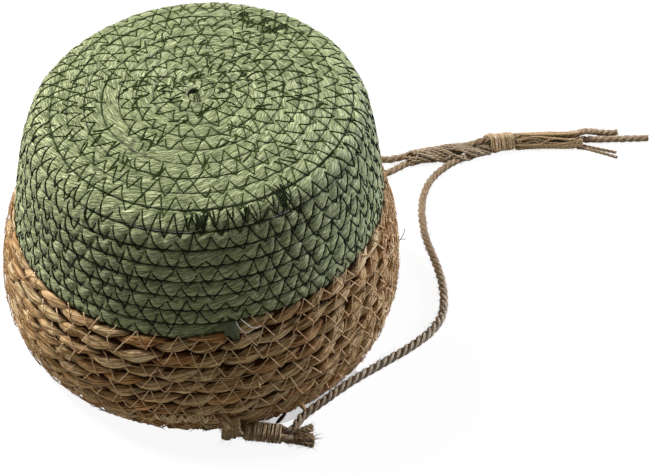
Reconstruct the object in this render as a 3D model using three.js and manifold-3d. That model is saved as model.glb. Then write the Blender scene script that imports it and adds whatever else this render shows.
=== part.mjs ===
// Hanging planter basket, standing mouth down on its rim, its three rope hangers lying on the floor.
// Millimetres, +Z up. The origin is the middle of the mouth, on the floor.
// The basket is a coiled cord: one row winds out over the base, turns down the wall and ends at the rim.
import * as THREE from 'three';
import { mergeVertices } from 'three/addons/utils/BufferGeometryUtils.js';
import Module from 'manifold-3d';

const wasm = await Module();
wasm.setup();

// Outline of the cord's centre line, from the middle of the base out and down to the rim's edge
const crownHeight = 131.2;
const innerBaseRadius = 32;
const innerBaseHeight = 131;
const outerBaseRadius = 58.8;
const outerBaseHeight = 128.6;
const shoulderRadius = 74.5;
const shoulderHeight = 124.3;
const upperWallRadius = 79.8;
const upperWallHeight = 113;
const middleWallRadius = 83.8;
const middleWallHeight = 95;
const lowerWallRadius = 87.3;
const lowerWallHeight = 74;
const joinRadius = 93;
const joinHeight = 55.5;
const bellyRadius = 96;
const bellyHeight = 30;
const tuckRadius = 93;
const tuckHeight = 12;
const rimRadius = 84.5;

// The basket was coiled by hand: it is taller on one side
const tallSideAngle = 53;
const tallSideSlope = 0.1;

// Cord and rows
const rowPitch = 8;
const rowGap = 0.5;
const greenCordDepth = 6.8;
const leafCordDepth = 8.4;
const firstRowTurn = 0.5;
const baseTurns = 8.625;
const greenTurns = 16.2917;
const coilPhase = 174;
const stepsPerTurn = 22;
const cordSides = 6;
const thinnestRimRow = 2.4;
const flatCut = 0.8;
const endGap = 0.3;
const crownFlatWidth = 14;

// Clear film liner inside the basket
const filmThickness = 0.6;
const filmGap = 0.4;
const linerHem = 1.4;
const linerFreeHeight = 44;

// Rope, its eyes in the wall and the twine that binds them
const ropeDiameter = 4.2;
const ropeSides = 8;
const holeSides = 5;
const ropeGap = 0.4;
const ropeStep = 13.5;
const floorGap = 0.1;
const frontEyeAngle = -83.5;
const rightEyeAngle = 41;
const leftEyeAngle = 157;
const eyeRows = 2;
const leastRimRow = 6;
const upperLegShift = -3;
const lowerLegShift = 2;
const laneStart = 7.2;
const laneLength = 17;
const laneTurn = 17;
const laneClearance = 3.3;
const tailLength = 17;
const tailBend = 3;
const twineThickness = 1;
const seizingTurns = 4;
const seizingSteps = 4;

// Gather: twine wound round the three ropes
const bandWidth = 2.2;
const bandThickness = 1.1;
const bandTurns = 5;
const bandSteps = 3;
const laneGap = 0.6;
const gatherStart = [169.8, 113.4];
const gatherEnd = [186.5, 115.7];
const strandDiameter = 2;
const strandStep = 5;

const ropeRadius = ropeDiameter / 2;
const floorHeight = ropeRadius + floorGap;
const { degToRad } = THREE.MathUtils;

const outline = new THREE.CatmullRomCurve3([
  [0, crownHeight],
  [innerBaseRadius, innerBaseHeight],
  [outerBaseRadius, outerBaseHeight],
  [shoulderRadius, shoulderHeight],
  [upperWallRadius, upperWallHeight],
  [middleWallRadius, middleWallHeight],
  [lowerWallRadius, lowerWallHeight],
  [joinRadius, joinHeight],
  [bellyRadius, bellyHeight],
  [tuckRadius, tuckHeight],
  [rimRadius, -flatCut],
].map(([r, z]) => new THREE.Vector3(r, 0, z)), false, 'centripetal');
outline.arcLengthDivisions = 600;
const rimEdge = outline.getLength();

// A point of the outline, and one set off from it along the wall's outward normal
function outlinePoint(distance, offset = 0) {
  const share = THREE.MathUtils.clamp(distance / rimEdge, 0, 1);
  const point = outline.getPointAt(share);
  const tangent = outline.getTangentAt(share);
  const beyond = distance - share * rimEdge;
  return {
    r: point.x + tangent.x * beyond - tangent.z * offset,
    z: point.z + tangent.z * beyond + tangent.x * offset,
  };
}

function polar(r, degrees, z) {
  const angle = degToRad(degrees);
  return new THREE.Vector3(r * Math.cos(angle), r * Math.sin(angle), z);
}

const tallSide = polar(1, tallSideAngle, 0);

// The basket grows taller towards its tall side; points on the floor stay there
function leanPoint(point) {
  const towards = point.x * tallSide.x + point.y * tallSide.y;
  return new THREE.Vector3(point.x, point.y, point.z * (1 + tallSideSlope * towards / crownHeight));
}

function leanGeometry(geometry) {
  const position = geometry.getAttribute('position');
  const point = new THREE.Vector3();
  for (let i = 0; i < position.count; i += 1) {
    const leant = leanPoint(point.fromBufferAttribute(position, i));
    position.setXYZ(i, leant.x, leant.y, leant.z);
  }
  geometry.computeVertexNormals();
  return geometry;
}

// A closed tube through rings of points, with flat ends and its faces pointing out
function tubeGeometry(rings) {
  const sides = rings[0].length;
  const corners = rings.flat().flatMap((p) => [p.x, p.y, p.z]);
  const faces = [];
  for (let i = 0; i + 1 < rings.length; i += 1) {
    for (let k = 0; k < sides; k += 1) {
      const a = i * sides + k;
      const b = i * sides + ((k + 1) % sides);
      faces.push(a, b, b + sides, a, b + sides, a + sides);
    }
  }
  const last = (rings.length - 1) * sides;
  for (let k = 1; k + 1 < sides; k += 1) {
    faces.push(0, k + 1, k, last, last + k, last + k + 1);
  }
  const geometry = new THREE.BufferGeometry();
  geometry.setAttribute('position', new THREE.Float32BufferAttribute(corners, 3));
  geometry.setIndex(faces);
  if (signedVolume(geometry) < 0) geometry.setIndex(faces.reverse());
  return geometry;
}

function signedVolume(geometry) {
  const position = geometry.getAttribute('position');
  const index = geometry.getIndex();
  const [a, b, c] = [new THREE.Vector3(), new THREE.Vector3(), new THREE.Vector3()];
  let volume = 0;
  for (let i = 0; i < index.count; i += 3) {
    a.fromBufferAttribute(position, index.getX(i));
    b.fromBufferAttribute(position, index.getX(i + 1));
    c.fromBufferAttribute(position, index.getX(i + 2));
    volume += a.dot(b.cross(c)) / 6;
  }
  return volume;
}

function toSolid(geometry) {
  const bare = geometry.clone();
  bare.deleteAttribute('normal');
  bare.deleteAttribute('uv');
  const merged = mergeVertices(bare, 1e-4);
  return new wasm.Manifold(new wasm.Mesh({
    numProp: 3,
    vertProperties: new Float32Array(merged.getAttribute('position').array),
    triVerts: new Uint32Array(merged.getIndex().array),
  }));
}

function toGeometry(solid) {
  const mesh = solid.getMesh();
  const geometry = new THREE.BufferGeometry();
  geometry.setAttribute('position', new THREE.BufferAttribute(new Float32Array(mesh.vertProperties), 3));
  geometry.setIndex(new THREE.BufferAttribute(new Uint32Array(mesh.triVerts), 1));
  return geometry;
}

function tubeAlong(route, radius, sides, step) {
  const section = new THREE.Shape();
  for (let k = 0; k < sides; k += 1) {
    const corner = polar(radius, (k + 0.5) * 360 / sides, 0);
    if (k === 0) section.moveTo(corner.x, corner.y);
    else section.lineTo(corner.x, corner.y);
  }
  section.closePath();
  const steps = Math.round(route.getLength() / step);
  return new THREE.ExtrudeGeometry(section, { steps, extrudePath: route, bevelEnabled: false });
}

// A row of the coil at a turn number: it ends short of the rim's edge, so the last row thins out
function rowBand(turn) {
  const top = rowPitch * (turn - 0.5);
  const bottom = Math.min(rowPitch * (turn + 0.5), rimEdge);
  return { middle: (top + bottom) / 2, height: bottom - top };
}

function coilRing(turn, depth) {
  const { middle, height } = rowBand(turn);
  const halfHeight = (height - rowGap) / 2;
  const halfDepth = (depth / 2) * Math.min(1, (height + rowPitch) / (2 * rowPitch));
  const ring = [];
  for (let k = 0; k < cordSides; k += 1) {
    const angle = 2 * Math.PI * (k + 0.5) / cordSides;
    const along = halfHeight * Math.cos(angle) / Math.cos(Math.PI / cordSides);
    const { r, z } = outlinePoint(middle + along, halfDepth * Math.sin(angle));
    ring.push(polar(r, coilPhase + 360 * turn, z));
  }
  return ring;
}

// The rings of a coil between two turn numbers, its ends half a gap short of their neighbours
function coilRings(fromTurn, toTurn, depth) {
  const steps = Math.round((toTurn - fromTurn) * stepsPerTurn);
  const turns = [];
  for (let step = 0; step <= steps; step += 1) turns.push(fromTurn + step / stepsPerTurn);
  turns[0] += gapInTurns(fromTurn);
  turns[steps] -= gapInTurns(toTurn);
  return turns.map((turn) => coilRing(turn, depth));
}

function gapInTurns(turn) {
  return endGap / 2 / (2 * Math.PI * outlinePoint(rowBand(turn).middle).r);
}

// Least distance between the corners of rings that lie a turn apart, with that many steps in a turn
function leastTurnGap(rings, steps) {
  let least = Infinity;
  for (let i = steps - 2; i < rings.length; i += 1) {
    for (let j = Math.max(0, i - steps - 2); j <= i - steps + 2; j += 1) {
      for (const a of rings[i]) {
        for (const b of rings[j]) least = Math.min(least, a.distanceTo(b));
      }
    }
  }
  return least;
}

// All rings lie on the same steps round the basket, counted from the green cord's end
function onStep(turn) {
  return greenTurns + Math.round((turn - greenTurns) * stepsPerTurn) / stepsPerTurn;
}

const rimTurns = onStep((rimEdge - thinnestRimRow) / rowPitch + 0.5);
const baseRings = coilRings(onStep(firstRowTurn), onStep(baseTurns), greenCordDepth);
const greenRings = coilRings(onStep(baseTurns), greenTurns, greenCordDepth);
const leafRings = coilRings(greenTurns, rimTurns, leafCordDepth);

// One rope eye: the rope comes in past the seizing, passes the wall twice and goes back out
class RopeEye {
  constructor(angle, side) {
    this.angle = angle;
    this.side = side;
    const turnShare = (((angle - coilPhase) / 360) % 1 + 1) % 1;
    const rows = Math.floor((rimEdge - leastRimRow) / rowPitch - turnShare - 0.5);
    this.lowerHole = rowPitch * (turnShare + rows + 0.5);
    this.upperHole = this.lowerHole - eyeRows * rowPitch;
    this.wallOffset = leafCordDepth / 2 + ropeGap + ropeRadius;
    this.laneHeight = ropeRadius + ropeGap + 1.5 * twineThickness + floorGap;
    const foot = outlinePoint(rimEdge - ropeRadius, this.wallOffset);
    const turn = degToRad(laneTurn);
    this.laneWidth = ropeDiameter + ropeGap;
    this.laneDirection = [Math.cos(turn), Math.sin(turn)];
    this.innerStart = [laneStart, foot.r + laneClearance];
    this.outerStart = [
      laneStart - this.laneWidth * Math.sin(turn),
      foot.r + laneClearance + this.laneWidth * Math.cos(turn),
    ];
  }

  // A point from its distance along the rim, its radius and its height
  place(along, r, z) {
    const out = polar(1, this.angle, 0);
    const sideways = polar(this.side, this.angle + 90, 0);
    return out.multiplyScalar(r).addScaledVector(sideways, along).setZ(z);
  }

  onLane(start, distance, z, inwards = 0) {
    const [along, out] = this.laneDirection;
    return this.place(start[0] + along * distance, start[1] + out * distance - inwards, z);
  }

  onWall(shift, distance, offset) {
    const { r, z } = outlinePoint(distance, offset);
    return this.place(shift, r, Math.max(z, floorHeight));
  }

  route() {
    const middleLeg = (this.lowerHole + this.upperHole) / 2;
    return new THREE.CatmullRomCurve3([
      this.onLane(this.outerStart, laneLength + tailLength, floorHeight, tailBend),
      this.onLane(this.outerStart, laneLength + tailLength / 2, floorHeight, tailBend / 4),
      this.onLane(this.outerStart, laneLength, this.laneHeight),
      this.onLane(this.outerStart, 2, this.laneHeight),
      this.onWall(upperLegShift / 2, this.lowerHole + ropeRadius, this.wallOffset + ropeDiameter),
      this.onWall(upperLegShift, this.lowerHole - ropeDiameter, this.wallOffset + ropeGap),
      this.onWall(upperLegShift, middleLeg, this.wallOffset),
      this.onWall(upperLegShift, this.upperHole + ropeRadius, this.wallOffset),
      this.onWall(upperLegShift, this.upperHole, 0),
      this.onWall(upperLegShift, this.upperHole + ropeRadius, -this.wallOffset),
      this.onWall((upperLegShift + lowerLegShift) / 2, middleLeg, -this.wallOffset - ropeGap),
      this.onWall(lowerLegShift, this.lowerHole - ropeRadius, -this.wallOffset),
      this.onWall(lowerLegShift, this.lowerHole, 0),
      this.onLane(this.innerStart, 0, this.laneHeight),
      this.onLane(this.innerStart, laneLength / 2, this.laneHeight),
      this.onLane(this.innerStart, laneLength, this.laneHeight),
    ], false, 'centripetal');
  }

  // Twine wound round the two ropes that lie side by side
  seizingRings() {
    const [along, out] = this.laneDirection;
    const middle = [0, 1].map((k) => (this.innerStart[k] + this.outerStart[k]) / 2);
    return woundRings({
      turns: seizingTurns,
      stepsPerLane: seizingSteps,
      lanes: bundleLanes([0, 180], this.laneWidth),
      halfLength: laneLength / 2 - 2 * twineThickness,
      halfAlong: twineThickness / 2,
      halfThick: twineThickness / 2,
      at: (distance, across, rise) => this.place(
        middle[0] + along * (laneLength / 2 + distance) - out * across,
        middle[1] + out * (laneLength / 2 + distance) + along * across,
        this.laneHeight + rise,
      ),
    });
  }

  // A point of the lane that the rope leaves by
  exit(distance) {
    return leanPoint(this.onLane(this.innerStart, distance, this.laneHeight));
  }
}

// Ropes side by side, each in the lane that faces one of the given directions
function bundleLanes(angles, spacing) {
  const radius = spacing / 2 / Math.sin(Math.PI / angles.length);
  return angles.map((angle) => {
    const { x, y } = polar(radius, angle, 0);
    return { angle, across: x, rise: y };
  });
}

// Rings of four corners along twine that winds round the ropes of a bundle, close to each in turn;
// at() places a distance along the bundle, one across it and a rise
function woundRings({ turns, stepsPerLane, lanes, halfLength, halfAlong, halfThick, at }) {
  const rings = [];
  const radius = ropeRadius + ropeGap + halfThick;
  const sweep = 360 / lanes.length;
  const last = turns * lanes.length * stepsPerLane;
  for (let i = 0; i <= last; i += 1) {
    const lane = lanes[Math.floor(i / stepsPerLane) % lanes.length];
    const angle = lane.angle + sweep * (((i % stepsPerLane) + 0.5) / stepsPerLane - 0.5);
    const distance = halfLength * (2 * i / last - 1);
    rings.push([[-1, 0], [0, 1], [1, 0], [0, -1]].map(([a, b]) => {
      const { x, y } = polar(radius + b * halfThick, angle, 0);
      return at(distance + a * halfAlong, lane.across + x, lane.rise + y);
    }));
  }
  return rings;
}

const eyes = {
  front: new RopeEye(frontEyeAngle, 1),
  right: new RopeEye(rightEyeAngle, 1),
  left: new RopeEye(leftEyeAngle, -1),
};

// The ropes' routes over the floor, each from its eye to the gather and on to its cut end
const gatherSpan = new THREE.Vector2(gatherEnd[0] - gatherStart[0], gatherEnd[1] - gatherStart[1]);
const gatherDirection = gatherSpan.clone().normalize();
const gatherLanes = bundleLanes([90, 210, 330], ropeDiameter + laneGap);
const [topLane, nearLane, farLane] = gatherLanes;
const bundleHeight = -nearLane.rise + ropeRadius + ropeGap + bandThickness + floorGap;

// Where a rope's lane in the gather passes a share of the way through it
function inGather(share, lane) {
  const x = THREE.MathUtils.lerp(gatherStart[0], gatherEnd[0], share);
  const y = THREE.MathUtils.lerp(gatherStart[1], gatherEnd[1], share);
  return [x - gatherDirection.y * lane.across, y + gatherDirection.x * lane.across, bundleHeight + lane.rise];
}

const onFloor = (points) => points.map(([x, y]) => [x, y, floorHeight]);

const frontRoute = [
  ...onFloor([[46, -86.5], [57.3, -77], [71.5, -65.8], [86, -56.2], [102.5, -45.3], [114.5, -35.5],
    [122.4, -25], [126, -12], [126.8, 3], [125.6, 18], [123.3, 36], [123.6, 54], [126.5, 70], [132, 83],
    [140.4, 93.6], [151, 101.8], [160, 106.5]]),
  inGather(0, nearLane),
  inGather(1, nearLane),
  ...onFloor([[200, 113.8], [213, 113.8], [225, 112.9]]),
];
const rightRoute = [
  ...onFloor([[46, 95], [38, 110], [33, 128], [33.5, 146], [42, 161], [57, 167], [72, 160], [81, 145],
    [88, 127], [97, 111.5], [108.7, 104.8], [118, 106.3], [128, 110.2], [140, 112.8], [154, 114.5]]),
  inGather(0, farLane),
  inGather(1, farLane),
  ...onFloor([[200, 118.6], [214, 118.6], [228, 118.2], [241, 117.6], [255, 117.4], [269.9, 117.4]]),
];
const leftRoute = [
  ...onFloor([[-74, 79], [-58, 91.5], [-38, 100], [-14, 105], [6, 107]]),
  [22, 108, floorHeight + 2],
  [38, 108, floorHeight + ropeDiameter + 3 * ropeGap],
  [54, 106.5, floorHeight + 2],
  ...onFloor([[70, 103.5], [84, 98.5], [98, 93], [108.5, 92.8], [117, 98], [126, 103.4], [137, 107.2]]),
  [148, 109, floorHeight + 0.8],
  [159, 111.2, floorHeight + 3.4],
  inGather(0, topLane),
  inGather(1, topLane),
  [200, 116.2, floorHeight + 4.2],
  [214, 116.4, floorHeight + 4.4],
  [224, 117.4, floorHeight + 4.8],
  [231, 119.8, floorHeight + 4.7],
  [238, 122.6, floorHeight + 2],
  ...onFloor([[245, 123.4], [252.6, 123.6]]),
];

// The front rope's end has come unlaid into two strands
const strandRoutes = {
  front_rope_far_strand: [[225.4, 114], [231, 112.7], [236, 110.8], [242, 108.5], [248.1, 106.1]],
  front_rope_near_strand: [[225.4, 111.7], [231, 110.3], [236, 107.8], [241.5, 105], [247.5, 101.4]],
};

// A rope runs straight out of its eye, then follows its route
function ropeCurve(eye, route) {
  const start = eye.exit(laneLength);
  const away = start.clone().sub(eye.exit(laneLength - ropeDiameter)).normalize();
  return new THREE.CatmullRomCurve3([
    start.clone().addScaledVector(away, endGap),
    start.clone().addScaledVector(away, ropeDiameter),
    ...route.map(([x, y, z]) => new THREE.Vector3(x, y, z)),
  ], false, 'centripetal');
}

const colours = {
  green: { color: 0x84a06f, roughness: 0.85, metalness: 0 },
  leaf: { color: 0xa98558, roughness: 0.8, metalness: 0 },
  film: { color: 0xdedde6, roughness: 0.2, metalness: 0 },
  jute: { color: 0x9c7c55, roughness: 0.95, metalness: 0 },
  twine: { color: 0xa58a63, roughness: 0.95, metalness: 0 },
};

const basket = new THREE.Group();

function addPart(name, geometry, look) {
  const mesh = new THREE.Mesh(geometry, new THREE.MeshStandardMaterial(look));
  mesh.name = name;
  basket.add(mesh);
}

// A block from a height up or down, which presses a coil flat there
function flatBlock(width, z, direction) {
  const block = new THREE.BoxGeometry(width, width, bellyRadius);
  block.translate(0, 0, z + direction * bellyRadius / 2);
  return toSolid(block);
}

const crownFace = crownHeight + greenCordDepth / 2 - flatCut;
const baseSolid = toSolid(tubeGeometry(baseRings)).subtract(flatBlock(crownFlatWidth, crownFace, 1));
addPart('base_coil', leanGeometry(toGeometry(baseSolid)), colours.green);
addPart('green_wall_coil', leanGeometry(tubeGeometry(greenRings)), colours.green);

const holeRadius = (ropeRadius + ropeGap) / Math.cos(Math.PI / holeSides);
let leafSolid = toSolid(tubeGeometry(leafRings)).subtract(flatBlock(4 * bellyRadius, 0, -1));
for (const eye of Object.values(eyes)) {
  leafSolid = leafSolid.subtract(toSolid(tubeAlong(eye.route(), holeRadius, holeSides, ropeDiameter)));
}
addPart('natural_wall_coil', leanGeometry(toGeometry(leafSolid)), colours.leaf);

// The liner follows the wall down to its free part, then hangs clear of the ropes' inner legs
function linerOffset(distance, cordDepth) {
  const free = THREE.MathUtils.smoothstep(linerFreeHeight - outlinePoint(distance).z, 0, rowPitch);
  return -(cordDepth / 2 + filmGap + free * (ropeDiameter + 2 * ropeGap));
}

function linerProfile() {
  const outer = [];
  const inner = [];
  const hem = rimEdge - linerHem;
  const steps = Math.round(hem / (1.5 * rowPitch));
  for (let i = 0; i <= steps; i += 1) {
    const distance = hem * i / steps;
    const offset = linerOffset(distance, leafCordDepth);
    const out = outlinePoint(distance, offset);
    const into = outlinePoint(distance, offset - filmThickness);
    outer.push(new THREE.Vector2(i === 0 ? 0 : out.r, out.z));
    inner.push(new THREE.Vector2(i === 0 ? 0 : into.r, into.z));
  }
  return [...inner, ...outer.reverse()];
}

const linerPhase = degToRad(coilPhase + 360 * greenTurns + 90);
const liner = new THREE.LatheGeometry(linerProfile(), stepsPerTurn, linerPhase);
liner.rotateX(Math.PI / 2);
addPart('liner', leanGeometry(toGeometry(toSolid(liner))), colours.film);

for (const [name, eye] of Object.entries(eyes)) {
  const eyeTube = tubeAlong(eye.route(), ropeRadius, ropeSides, ropeDiameter);
  addPart(`${name}_eye`, leanGeometry(eyeTube), colours.jute);
  addPart(`${name}_seizing`, leanGeometry(tubeGeometry(eye.seizingRings())), colours.twine);
}

const ropes = {
  front_rope: ropeCurve(eyes.front, frontRoute),
  right_rope: ropeCurve(eyes.right, rightRoute),
  left_rope: ropeCurve(eyes.left, leftRoute),
};
for (const [name, curve] of Object.entries(ropes)) {
  addPart(name, tubeAlong(curve, ropeRadius, ropeSides, ropeStep), colours.jute);
  console.log(`${name}: ${curve.getLength().toFixed(0)} mm`);
}

const strandRadius = strandDiameter / 2;
for (const [name, points] of Object.entries(strandRoutes)) {
  const curve = new THREE.CatmullRomCurve3(
    points.map(([x, y]) => new THREE.Vector3(x, y, strandRadius + floorGap)), false, 'centripetal');
  addPart(name, tubeAlong(curve, strandRadius, ropeSides, strandStep), colours.jute);
}

const bandRings = woundRings({
  turns: bandTurns,
  stepsPerLane: bandSteps,
  lanes: gatherLanes,
  halfLength: (gatherSpan.length() - bandWidth) / 2,
  halfAlong: bandWidth / 2,
  halfThick: bandThickness / 2,
  at: (distance, across, rise) => new THREE.Vector3(
    (gatherStart[0] + gatherEnd[0]) / 2 + gatherDirection.x * distance - gatherDirection.y * across,
    (gatherStart[1] + gatherEnd[1]) / 2 + gatherDirection.y * distance + gatherDirection.x * across,
    bundleHeight + rise,
  ),
});
addPart('gather_whipping', tubeGeometry(bandRings), colours.twine);

const windings = [
  ['base coil', baseRings, stepsPerTurn],
  ['green wall coil', greenRings, stepsPerTurn],
  ['natural wall coil', leafRings, stepsPerTurn],
  ['gather whipping', bandRings, bandSteps * gatherLanes.length],
  ...Object.entries(eyes).map(([name, eye]) => [`${name} seizing`, eye.seizingRings(), 2 * seizingSteps]),
];
for (const [name, rings, steps] of windings) {
  console.log(`${name}: least gap between turns ${leastTurnGap(rings, steps).toFixed(2)} mm`);
}
console.log(`outline ${rimEdge.toFixed(1)} mm, rim at turn ${rimTurns.toFixed(3)}`);

export default basket;
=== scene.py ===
"""Dresses the hanging planter basket: coils, threads, leaf cord, film, jute ropes, studio."""

from __future__ import annotations

import logging
import math
from dataclasses import dataclass, field
from enum import Enum
from typing import Any, Callable

import bpy
import numpy as np
from mathutils import Matrix, Vector

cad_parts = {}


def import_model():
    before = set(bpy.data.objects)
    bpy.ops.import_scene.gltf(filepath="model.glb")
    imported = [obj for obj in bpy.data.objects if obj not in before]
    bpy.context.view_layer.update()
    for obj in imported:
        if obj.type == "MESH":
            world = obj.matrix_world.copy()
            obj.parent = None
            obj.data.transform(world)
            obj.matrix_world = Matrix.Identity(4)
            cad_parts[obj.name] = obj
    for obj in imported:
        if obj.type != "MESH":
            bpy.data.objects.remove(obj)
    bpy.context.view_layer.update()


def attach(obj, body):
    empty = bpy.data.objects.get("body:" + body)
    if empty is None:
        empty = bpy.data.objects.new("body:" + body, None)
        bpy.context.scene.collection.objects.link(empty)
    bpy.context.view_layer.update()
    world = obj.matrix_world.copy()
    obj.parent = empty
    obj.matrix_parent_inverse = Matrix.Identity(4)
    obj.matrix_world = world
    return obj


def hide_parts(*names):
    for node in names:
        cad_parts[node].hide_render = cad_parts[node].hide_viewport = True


Array = np.ndarray
Pair = tuple[float, float]
Triple = tuple[float, float, float]
Colour = tuple[float, ...]
MM = 0.001
ROOT = "root"
seeded = np.random.default_rng
log = logging.getLogger("planter")


class Slot(str, Enum):
    """The record's material slots."""

    GREEN = "green_cord"
    LEAF = "leaf_cord"
    FILM = "liner_film"
    JUTE = "jute_rope"
    TWINE = "twine"


class Twist(int, Enum):
    """Which way strands are laid round each other."""

    Z = 1
    S = -1


# Meshes


@dataclass
class Shape:
    """A mesh: points, faces, face corners' places on the finish, and each point's tint and shade."""

    points: Array
    faces: list[Array]
    corners: list[Array]
    tint: Array
    shade: Array

    def facing_out(self) -> Shape:
        """The same shape with its faces turned round if its signed volume is below zero.

        Returns:
            The shape, facing outwards.
        """
        corners = [self.points[face.T] for face in self.faces]
        volume = sum(
            np.einsum("ij,ij->", p[0], np.cross(p[k], p[k + 1]))
            for p in corners
            for k in range(1, len(p) - 1)
        )
        if volume < 0:
            self.faces = [face[:, ::-1] for face in self.faces]
            self.corners = [corner[:, ::-1] for corner in self.corners]
        return self


def joined(shapes: list[Shape]) -> Shape:
    """Several shapes as one.

    Args:
        shapes: The shapes.

    Returns:
        One shape that holds all their points and faces.
    """
    starts = np.cumsum([0] + [len(s.points) for s in shapes])
    return Shape(
        np.concatenate([s.points for s in shapes]),
        [face + start for s, start in zip(shapes, starts) for face in s.faces],
        [corner for s in shapes for corner in s.corners],
        np.concatenate([s.tint for s in shapes]),
        np.concatenate([s.shade for s in shapes]),
    )


def tubes(
    rings: Array, along: Array, around: Array, tint: Array | float = 0.5, shade: Array | float = 0.0
) -> Shape:
    """Closed tubes through rings of points, each end closed by a fan to the middle of its ring.

    Point (i, j) of a tube joins (i + 1, j) and (i, j + 1), and j wraps round. What would sink into
    the floor is flattened on it.

    Args:
        rings: Points of shape (tubes, rings, sides, 3).
        along: Distance along each tube at each ring, shape (tubes, rings).
        around: Distance round the tube at each side, one more than the sides.
        tint: A number, or one for each ring, shape (tubes, rings).
        shade: How deep in a crevice, 0 to 1, which the finishes paint as shade: a number, or one for each
            point.

    Returns:
        The tubes as one shape.
    """
    k, n, m, _ = rings.shape
    rings = rings.copy()
    rings[..., 2] = settled(rings[..., 2], 0.2 * MM)
    here = np.arange(k * n * m).reshape(k, n, m)
    beside = np.roll(here, -1, axis=2)
    quads = np.stack([here[:, :-1], beside[:, :-1], beside[:, 1:], here[:, 1:]], -1)
    place = np.stack(np.broadcast_arrays(along[:, :, None], around[None, None, :]), -1)
    quad_place = np.stack(
        [place[:, :-1, :-1], place[:, :-1, 1:], place[:, 1:, 1:], place[:, 1:, :-1]], -2
    )
    middles = rings[:, [0, -1]].mean(axis=2)
    hub = k * n * m + np.arange(2 * k).reshape(k, 2)
    fans, fan_places = [], []
    for end, (one, two) in enumerate(((beside[:, 0], here[:, 0]), (here[:, -1], beside[:, -1]))):
        centre = np.broadcast_to(hub[:, end, None], one.shape)
        fans.append(np.stack([centre, one, two], -1).reshape(-1, 3))
        edge = place[:, -end]
        middle = np.broadcast_to(edge.mean(axis=1, keepdims=True), edge[:, 1:].shape)
        fan_places.append(np.stack([middle, edge[:, 1:], edge[:, :-1]], -2).reshape(-1, 3, 2))
    tone = np.broadcast_to(np.asarray(tint, float), (k, n))
    deep = np.broadcast_to(np.asarray(shade, float), (k, n, m))
    return Shape(
        np.concatenate([rings.reshape(-1, 3), middles.reshape(-1, 3)]),
        [quads.reshape(-1, 4), *fans],
        [quad_place.reshape(-1, 4, 2), *fan_places],
        np.concatenate([np.repeat(tone.reshape(-1), m), tone[:, [0, -1]].reshape(-1)]),
        np.concatenate([deep.reshape(-1), deep[:, [0, -1]].mean(axis=2).reshape(-1)]),
    ).facing_out()


def piece(name: str, shape: Shape, finish: bpy.types.Material) -> bpy.types.Object:
    """A Blender object from a shape, riding on the one body there is.

    Args:
        name: The object's name.
        shape: Its points and faces.
        finish: Its material.

    Returns:
        The object.
    """
    mesh = bpy.data.meshes.new(name)
    loops = np.concatenate([face.ravel() for face in shape.faces]).astype(np.int32)
    sizes = np.concatenate([np.full(len(face), face.shape[1]) for face in shape.faces])
    mesh.vertices.add(len(shape.points))
    mesh.vertices.foreach_set("co", shape.points.astype(np.float32).ravel())
    mesh.loops.add(len(loops))
    mesh.loops.foreach_set("vertex_index", loops)
    mesh.polygons.add(len(sizes))
    mesh.polygons.foreach_set("loop_start", (np.cumsum(sizes) - sizes).astype(np.int32))
    mesh.update(calc_edges=True)
    places = np.concatenate([corner.reshape(-1, 2) for corner in shape.corners])
    mesh.uv_layers.new(name="UVMap").data.foreach_set("uv", places.astype(np.float32).ravel())
    for layer, values in (("tint", shape.tint), ("shade", shape.shade)):
        mesh.attributes.new(layer, "FLOAT", "POINT").data.foreach_set("value", values.astype(np.float32))
    mesh.shade_smooth()
    mesh.materials.append(finish)
    obj = bpy.data.objects.new(name, mesh)
    bpy.context.scene.collection.objects.link(obj)
    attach(obj, ROOT)
    log.info("%s: %d points, %d faces", name, len(mesh.vertices), len(mesh.polygons))
    return obj


# Lines


def unit(vectors: Array) -> Array:
    """Vectors divided by their lengths."""
    return vectors / np.maximum(np.linalg.norm(vectors, axis=-1, keepdims=True), 1e-12)


def clipped(values: Array) -> Array:
    """Values cut off at 0 and 1."""
    return np.clip(values, 0, 1)


def circle(sides: int) -> Array:
    """Even angles round a circle, one for each side."""
    return 2 * np.pi * np.arange(sides) / sides


def travelled(line: Array) -> Array:
    """Distance along a line at each of its points."""
    return np.concatenate([[0], np.cumsum(np.linalg.norm(np.diff(line, axis=0), axis=1))])


def smooth_line(points: Array, fine: int = 24) -> Array:
    """A centripetal Catmull-Rom curve through points.

    Each span is a cubic whose end slopes come from its neighbours, with knots spaced by the square
    root of the distance between points.

    Args:
        points: The points, shape (n, 3) or (n, 2).
        fine: Steps in each span.

    Returns:
        Points of the curve.
    """
    p = np.vstack([2 * points[0] - points[1], points, 2 * points[-1] - points[-2]])
    a, b, c, d = (p[k : len(p) - 3 + k, None] for k in range(4))
    g0, g1, g2 = (
        np.maximum(np.linalg.norm(w - v, axis=-1, keepdims=True) ** 0.5, 1e-6)
        for v, w in ((a, b), (b, c), (c, d))
    )
    s = ((b - a) / g0 - (c - a) / (g0 + g1) + (c - b) / g1) * g1
    e = ((c - b) / g1 - (d - b) / (g1 + g2) + (d - c) / g2) * g1
    t = np.linspace(0, 1, fine, endpoint=False)[None, :, None]
    curve = b + s * t + (-3 * b + 3 * c - 2 * s - e) * t**2 + (2 * b - 2 * c + s + e) * t**3
    return np.vstack([curve.reshape(-1, points.shape[1]), points[-1:]])


def evenly(line: Array, step: float) -> tuple[Array, Array]:
    """A line again with its points a step apart.

    Args:
        line: The line's points.
        step: Distance between the new points.

    Returns:
        The new points, and the distance of each along the line.
    """
    along = travelled(line)
    at = np.linspace(0, along[-1], max(3, int(round(along[-1] / step)) + 1))
    return np.stack([np.interp(at, along, line[:, k]) for k in range(line.shape[1])], 1), at


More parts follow.
